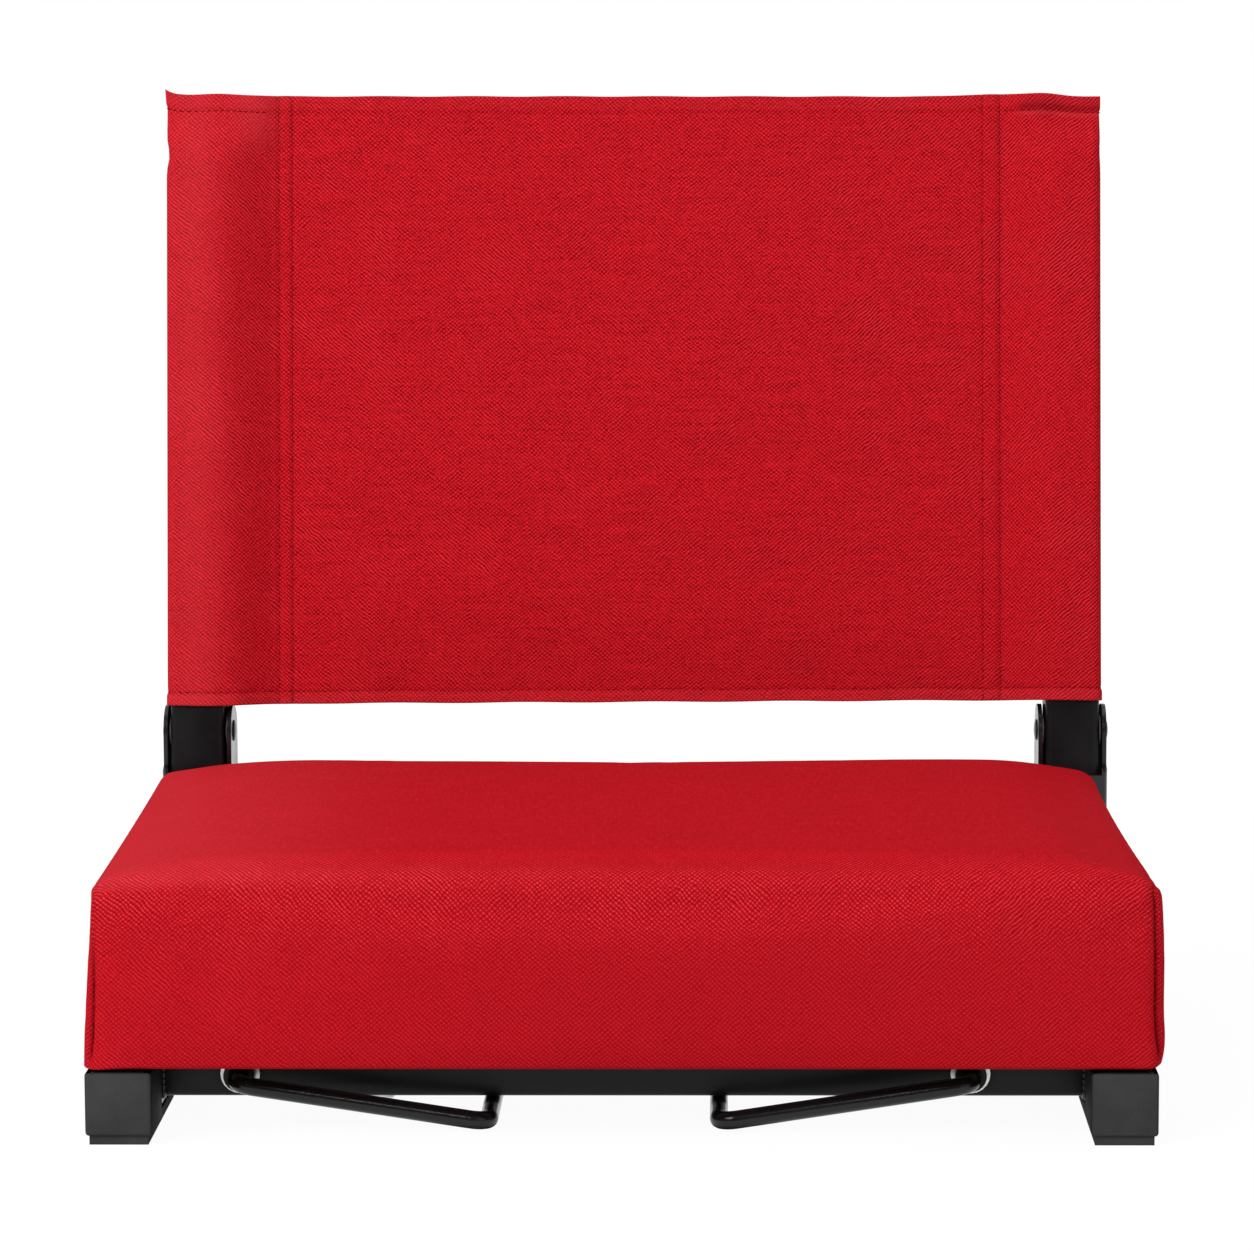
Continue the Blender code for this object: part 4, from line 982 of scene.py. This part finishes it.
def close_up(places, low, high, step, around, fine):
    """Even places from low to high, and finer ones within a few millimetres of each place given."""
    extra = [np.linspace(place - around, place + around, round(2 * around / fine) + 1) for place in places]
    full = np.concatenate([np.linspace(low, high, round((high - low) / step) + 1), *extra])
    full = np.sort(full[(full >= low) & (full <= high)])
    keep = np.concatenate([[True], np.diff(full) > fine * 0.45])
    keep[-1] = True
    return full[keep]


def stitch_lines(sling, path, run):
    """Distances along the path of the four upright stitch lines on the front."""
    front = (run > run[-1] * 0.2) & (run < run[-1] * 0.8)
    places = (
        -sling.left_seam,
        -sling.left_seam + sling.left_welt,
        sling.right_seam - sling.right_welt,
        sling.right_seam,
    )
    return [float(np.interp(place, path[front, 0], run[front])) for place in places]


class CHAIR_OT_back_sling(bpy.types.Operator):
    """Make the stretched back: one strip of cloth sewn round both posts"""

    bl_idname = "stadium_chair.back_sling"
    bl_label = "Back Sling"

    def execute(self, context):
        sling = context.scene.stadium_chair.sling
        path, run = sling_outline(sling)
        bends = [float(run[k]) for k in range(1 + ARC_POINTS // 2, len(run) - 1, ARC_POINTS)]
        columns = close_up(stitch_lines(sling, path, run) + bends, 0.0, run[-1], 0.0040, 0.0045, 0.0009)
        hems = [sling.low + sling.bottom_hem, sling.high - sling.top_hem]
        rows = close_up([*hems, sling.low, sling.high], sling.low, sling.high, 0.0042, 0.0035, 0.0009)
        up, s = np.meshgrid(rows, columns, indexing="ij")
        points = leaned(sling_surface(sling, path, run, s, up)).reshape(-1, 3)
        quads = lattice(len(rows), len(columns))
        uvs = np.stack([s, up], axis=-1).reshape(-1, 2)[quads.ravel()]
        # Painted shade and painted light for the cloth's colour.
        shade, worn = sling_shade(sling, path, run, s, up)
        cloth = mesh_piece("back_sling_cloth", points, quads, uvs, seam_shade=shade, worn=worn)
        wall = cloth.modifiers.new("cloth_thickness", "SOLIDIFY")
        wall.thickness = sling.thickness
        wall.offset = -1.0
        wall.use_even_offset = False
        woven = "red_woven_polyester"
        finish_piece(cloth, finish_for(woven), "backrest", woven, "back_sling")
        stitches = self.stitches(sling, path, run)
        finish_piece(stitches, finish_for("sewing_thread"), "backrest", woven)
        return {"FINISHED"}

    def stitches(self, sling, path, run):
        """Short threads along the stitch lines, front and back: capsules of five rings of six points, each
        laid in the frame of the surface's slope along the line and its normal."""
        lines = stitch_lines(sling, path, run)
        tall = np.arange(sling.low + 0.0022, sling.high - 0.0012, sling.stitch)
        long = np.arange(0.012, run[-1] - 0.012, sling.stitch)
        spots = [(np.full_like(tall, line), tall, np.zeros_like(tall)) for line in lines]
        upper = long[np.abs(np.interp(long, run, path[:, 0])) > sling.right_seam + 0.002]
        for height, places in ((sling.low + sling.bottom_hem, long), (sling.high - sling.top_hem, upper)):
            spots.append((places, np.full_like(places, height), np.ones_like(places)))
        s, up, level = (np.concatenate(parts) for parts in zip(*spots))
        bold = (up > sling.high - 2 * sling.top_hem) & (s < run[-1] / 2) & (level > 0.5)
        count = np.arange(len(s))
        sink = np.where(bold, 0.0, 0.45 + 0.45 * np.sin(count * 1.7) * np.sin(count * 0.23))
        tiny = 0.0005
        place = lambda ds, du: leaned(sling_surface(sling, path, run, s + ds, up + du))
        middle = place(0.0, 0.0)
        over = place(tiny, 0.0) - place(-tiny, 0.0)
        rise = place(0.0, tiny) - place(0.0, -tiny)
        normal = unit(np.cross(over, rise))
        ahead = unit(np.where(level[:, None] > 0.5, over, rise))
        beside = np.cross(normal, ahead)
        radius = sling.thread / 2
        reach = sling.stitch * 0.37
        share = np.array([-1.0, -0.8, 0.0, 0.8, 1.0])
        swell = np.array([0.05, 0.8, 1.0, 0.8, 0.05]) * radius
        dip = np.array([-1.3, -0.35, 0.15, -0.35, -1.3]) * radius
        sides = 6
        angle = np.arange(sides) * TURN / sides
        round_off = swell[:, None] * np.cos(angle), swell[:, None] * np.sin(angle) + dip[:, None]
        points = (
            middle[:, None, None]
            + ahead[:, None, None] * (share * reach)[None, :, None, None]
            + beside[:, None, None] * round_off[0][None, ..., None]
            + normal[:, None, None] * (round_off[1] - radius * sink[:, None, None])[..., None]
        )
        single = lattice(len(share), sides, wrap=True)
        quads = (single[None] + len(share) * sides * count[:, None, None]).reshape(-1, 4)
        return mesh_piece("back_sling_stitches", points.reshape(-1, 3), quads)


def swept_rod(path, radii, across, sides=28):
    """A round rod along a flat path: at each point a circle in the plane of the path's normal and its
    side."""
    beside = np.cross(across, unit(np.gradient(path, axis=0)))
    angle = np.arange(sides) * TURN / sides
    ring = beside[:, None] * np.cos(angle)[None, :, None] + across * np.sin(angle)[None, :, None]
    return path[:, None] + radii[:, None, None] * ring


class CHAIR_OT_bench_hooks(bpy.types.Operator):
    """Make the two bent rods that grip the bench"""

    bl_idname = "stadium_chair.bench_hooks"
    bl_label = "Bench Hooks"

    def execute(self, context):
        hook = context.scene.stadium_chair.hook
        flat, radii = self.rod(hook)
        for side, name in ((-1, "left"), (1, "right")):
            axis = np.array(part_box(f"{name}_hook_collar")).mean(axis=0)
            axis[1] = np.array(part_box("front_cross_tube"))[:, 1].mean()
            back = np.array([0.0, 1.0, 0.0])
            lean = np.array([-side * math.cos(hook.droop), 0.0, -math.sin(hook.droop)])
            path = axis + flat[:, :1] * lean + flat[:, 1:] * back
            points = swept_rod(path, radii, np.cross(lean, back))
            quads = lattice(len(path), points.shape[1], wrap=True)
            piece = mesh_piece(f"{name}_bench_hook", points.reshape(-1, 3), quads)
            finish_piece(piece, finish_for("hook_coat"), f"{name}_hook", "black_powder_coat", f"{name}_hook")
        return {"FINISHED"}

    def rod(self, hook):
        """The rod's path in its own plane, along the arm and back, and its radius at each point: the axis
        end, the arm and the gripping leg with round bends between them, and both ends drawn in over
        1.4 mm."""
        corners = [(0.0, 0.0221), (0.0, -hook.forward), (hook.reach, -hook.forward)]
        corners.append((hook.reach, hook.leg - hook.forward))
        arc = 14
        bends = filleted(corners, [0.0, hook.bend, hook.bend, 0.0], arc)
        flat = np.concatenate([
            np.linspace(bends[0], bends[1], 9)[:-1],
            bends[1:arc + 1],
            np.linspace(bends[arc], bends[arc + 1], 25)[1:-1],
            bends[arc + 1:2 * arc + 1],
            np.linspace(bends[2 * arc], bends[-1], 17)[1:],
        ])
        cap = np.array([[0.0], [0.0006], [0.0014]])
        inward = np.array([0.0, -1.0])
        flat = np.concatenate([flat[0] + inward * cap, flat[2:-2], flat[-1] + inward * cap[::-1]])
        shares = np.ones(len(flat))
        shares[:3] = (0.02, 0.80, 1.0)
        shares[-3:] = (1.0, 0.80, 0.02)
        return flat, shares * (hook.rod / 2)


class CHAIR_OT_weld_beads(bpy.types.Operator):
    """Make the welds where the cross tubes meet the rails"""

    bl_idname = "stadium_chair.weld_beads"
    bl_label = "Weld Beads"

    def execute(self, context):
        bead = 0.0013
        ripple = 0.0026
        sides = 10
        for end in ("front", "rear"):
            low, high = (np.array(corner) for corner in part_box(f"{end}_cross_tube"))
            top = high[2] - bead
            corners = [(low[1], top), (low[1], low[2]), (high[1], low[2]), (high[1], top)]
            flat = filleted(corners, [0.0, 0.002, 0.002, 0.0], 9)
            run = run_length(flat)
            along = np.linspace(0.0, run[-1], 97)
            radii = bead * (0.80 + 0.28 * np.abs(np.sin(math.pi * along / ripple)))
            radii[[0, -1]] = 0.1 * bead
            back, up = (np.interp(along, run, flat[:, k]) for k in (0, 1))
            for name, place in (("left", low[0]), ("right", high[0])):
                path = np.stack([np.full_like(along, place), back, up], axis=-1)
                points = swept_rod(path, radii, np.array([1.0, 0.0, 0.0]), sides).reshape(-1, 3)
                weld = mesh_piece(f"{end}_{name}_weld_bead", points, lattice(len(path), sides, wrap=True))
                finish_piece(weld, finish_for("hook_coat"), "base", "black_powder_coat")
        return {"FINISHED"}


def smooth_shading_group():
    """A geometry group that merges a part's loose triangles and shades it smooth, sharp above thirty
    degrees."""
    group = bpy.data.node_groups.new("smooth_shading", "GeometryNodeTree")
    group.interface.new_socket("Geometry", in_out="INPUT", socket_type="NodeSocketGeometry")
    group.interface.new_socket("Geometry", in_out="OUTPUT", socket_type="NodeSocketGeometry")
    start = group.nodes.new("NodeGroupInput").outputs["Geometry"]
    merge = add_node(group, "GeometryNodeMergeByDistance", {"Geometry": start, "Distance": 1e-6})
    merged = {0: merge.outputs["Geometry"], "Shade Smooth": True}
    faces = add_node(group, "GeometryNodeSetShadeSmooth", merged)
    angle = add_node(group, "GeometryNodeInputMeshEdgeAngle").outputs["Unsigned Angle"]
    sharp = add_node(group, "FunctionNodeCompare", {0: angle, 1: math.radians(30)}, operation="GREATER_THAN")
    edges = add_node(
        group,
        "GeometryNodeSetShadeSmooth",
        {0: faces.outputs[0], "Selection": sharp.outputs["Result"], "Shade Smooth": False},
        domain="EDGE",
    )
    end = group.nodes.new("NodeGroupOutput")
    group.links.new(edges.outputs[0], end.inputs["Geometry"])
    return group


class CHAIR_OT_frame_finish(bpy.types.Operator):
    """Give the tubes, brackets, boots, board and fasteners their finishes"""

    bl_idname = "stadium_chair.frame_finish"
    bl_label = "Frame Finish"

    def execute(self, context):
        group = smooth_shading_group()
        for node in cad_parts.values():
            slot = node.material_slots[0].material.name.split(".")[0]
            if node.hide_render or slot in ("red_woven_polyester", "cream_foam"):
                continue
            bracket = "hinge_" in node.name and slot == "black_powder_coat"
            node.material_slots[0].material = finish_for("bracket_coat" if bracket else slot)
            node.modifiers.new("smooth_shading", "NODES").node_group = group
        return {"FINISHED"}


def area_light(name, place, aim, size, power):
    """A soft square light that points at a spot."""
    light = bpy.data.lights.new(name, "AREA")
    light.shape = "SQUARE"
    light.size = size
    light.energy = power
    obj = bpy.data.objects.new(name, light)
    obj.location = place
    obj.rotation_euler = (Vector(aim) - Vector(place)).to_track_quat("-Z", "Y").to_euler()
    bpy.context.scene.collection.objects.link(obj)


def seen_rays(tree):
    """One for rays that show a surface: from the camera, in a reflection or through glass."""
    path = add_node(tree, "ShaderNodeLightPath")
    both = calc(tree, "MAXIMUM", path.outputs["Is Camera Ray"], path.outputs["Is Glossy Ray"])
    return calc(tree, "MAXIMUM", both, path.outputs["Is Transmission Ray"])


class CHAIR_OT_stage(bpy.types.Operator):
    """Set the pale floor, the soft lights and the camera"""

    bl_idname = "stadium_chair.stage"
    bl_label = "Stage"

    def execute(self, context):
        stage = context.scene.stadium_chair.stage
        scene = context.scene
        scene.view_settings.view_transform = "Standard"
        span = np.linspace(-4.0, 4.0, 9)
        t, s = np.meshgrid(span, span, indexing="ij")
        flat = np.stack([s, t, np.zeros_like(s)], axis=-1).reshape(-1, 3)
        floor = mesh_piece("studio_floor", flat, lattice(9, 9))
        floor.data.materials.append(self.floor_material())
        self.light_sky(scene, stage.sky)
        for name, place, aim, size in LIGHTS:
            area_light(name, place, aim, size, getattr(stage, name.split("_")[0]))
        camera = bpy.data.cameras.new("photo_camera")
        camera.lens = stage.lens
        camera.sensor_width = 36.0
        camera.clip_end = 50.0
        holder = bpy.data.objects.new("photo_camera", camera)
        turn = Matrix.Rotation(stage.yaw, 4, "Z") @ Matrix.Rotation(math.pi / 2 - stage.pitch, 4, "X")
        holder.matrix_world = Matrix.Translation(stage.place) @ turn @ Matrix.Rotation(stage.roll, 4, "Z")
        scene.collection.objects.link(holder)
        scene.camera = holder
        return {"FINISHED"}

    def floor_material(self):
        """Pale floor: plain diffuse for the light it gives back, and mostly white where it is seen, so that
        only the object's shadow shows on it."""
        material, tree, shader = new_material("studio_floor_finish")
        tree.nodes.remove(shader)
        plain, faint = (
            add_node(tree, "ShaderNodeBsdfDiffuse", {"Color": (grey, grey, grey, 1.0)}).outputs["BSDF"]
            for grey in (0.80, 0.07)
        )
        place = object_coords(tree)
        reach = add_node(tree, "ShaderNodeVectorMath", {0: place}, operation="LENGTH").outputs["Value"]
        level = ramp(tree, reach, 0.35, 1.1, 0.953, 1.0)
        white = add_node(tree, "ShaderNodeEmission", {"Strength": level}).outputs["Emission"]
        both = add_node(tree, "ShaderNodeAddShader", {0: faint, 1: white}).outputs["Shader"]
        ends = {0: seen_rays(tree), 1: plain, 2: both}
        mixed = add_node(tree, "ShaderNodeMixShader", ends).outputs["Shader"]
        set_inputs(tree, tree.nodes["Material Output"], {"Surface": mixed})
        return material

    def light_sky(self, scene, strength):
        """White where it is seen and in reflections of what lies behind, dim in reflections of the dark
        studio in front, and an even soft light elsewhere."""
        world = bpy.data.worlds.new("studio_sky")
        world.use_nodes = True
        tree = world.node_tree
        tree.nodes.clear()
        toward = add_node(tree, "ShaderNodeTexCoord").outputs["Generated"]
        glossy = add_node(tree, "ShaderNodeLightPath").outputs["Is Glossy Ray"]
        dim = product(tree, glossy, ramp(tree, axis_part(tree, toward, "Y"), -0.25, 0.35, 0.90, 0.0))
        level = calc(tree, "SUBTRACT", ramp(tree, seen_rays(tree), 0.0, 1.0, strength, 1.0), dim)
        sky = add_node(tree, "ShaderNodeBackground", {"Color": (1.0, 1.0, 1.0, 1.0), "Strength": level})
        add_node(tree, "ShaderNodeOutputWorld", {"Surface": sky.outputs["Background"]})
        scene.world = world


STEPS = (
    CHAIR_OT_stage,
    CHAIR_OT_seat_cushion,
    CHAIR_OT_back_sling,
    CHAIR_OT_bench_hooks,
    CHAIR_OT_weld_beads,
    CHAIR_OT_frame_finish,
)


class CHAIR_PT_steps(bpy.types.Panel):
    """The chair's pieces and their settings"""

    bl_idname = "CHAIR_PT_steps"
    bl_label = "Stadium Chair"
    bl_space_type = "VIEW_3D"
    bl_region_type = "UI"
    bl_category = "Stadium Chair"

    def draw(self, context):
        settings = context.scene.stadium_chair
        for step in STEPS:
            self.layout.operator(step.bl_idname)
        for group in (settings.seat, settings.sling, settings.hook, settings.finish, settings.stage):
            box = self.layout.box()
            for key in group.bl_rna.properties.keys():
                if key not in ("rna_type", "name"):
                    box.prop(group, key)


CLASSES = (
    SeatSettings,
    SlingSettings,
    HookSettings,
    FinishSettings,
    StageSettings,
    ChairSettings,
    *STEPS,
    CHAIR_PT_steps,
)


def register():
    """Add the settings, the steps and the panel."""
    for item in CLASSES:
        bpy.utils.register_class(item)
    bpy.types.Scene.stadium_chair = bpy.props.PointerProperty(type=ChairSettings)


def unregister():
    """Take the settings, the steps and the panel away again."""
    del bpy.types.Scene.stadium_chair
    for item in reversed(CLASSES):
        bpy.utils.unregister_class(item)


def main():
    """Make every piece in order."""
    register()
    for step in STEPS:
        area, name = step.bl_idname.split(".")
        getattr(getattr(bpy.ops, area), name)()


if __name__ == "__main__":
    main()
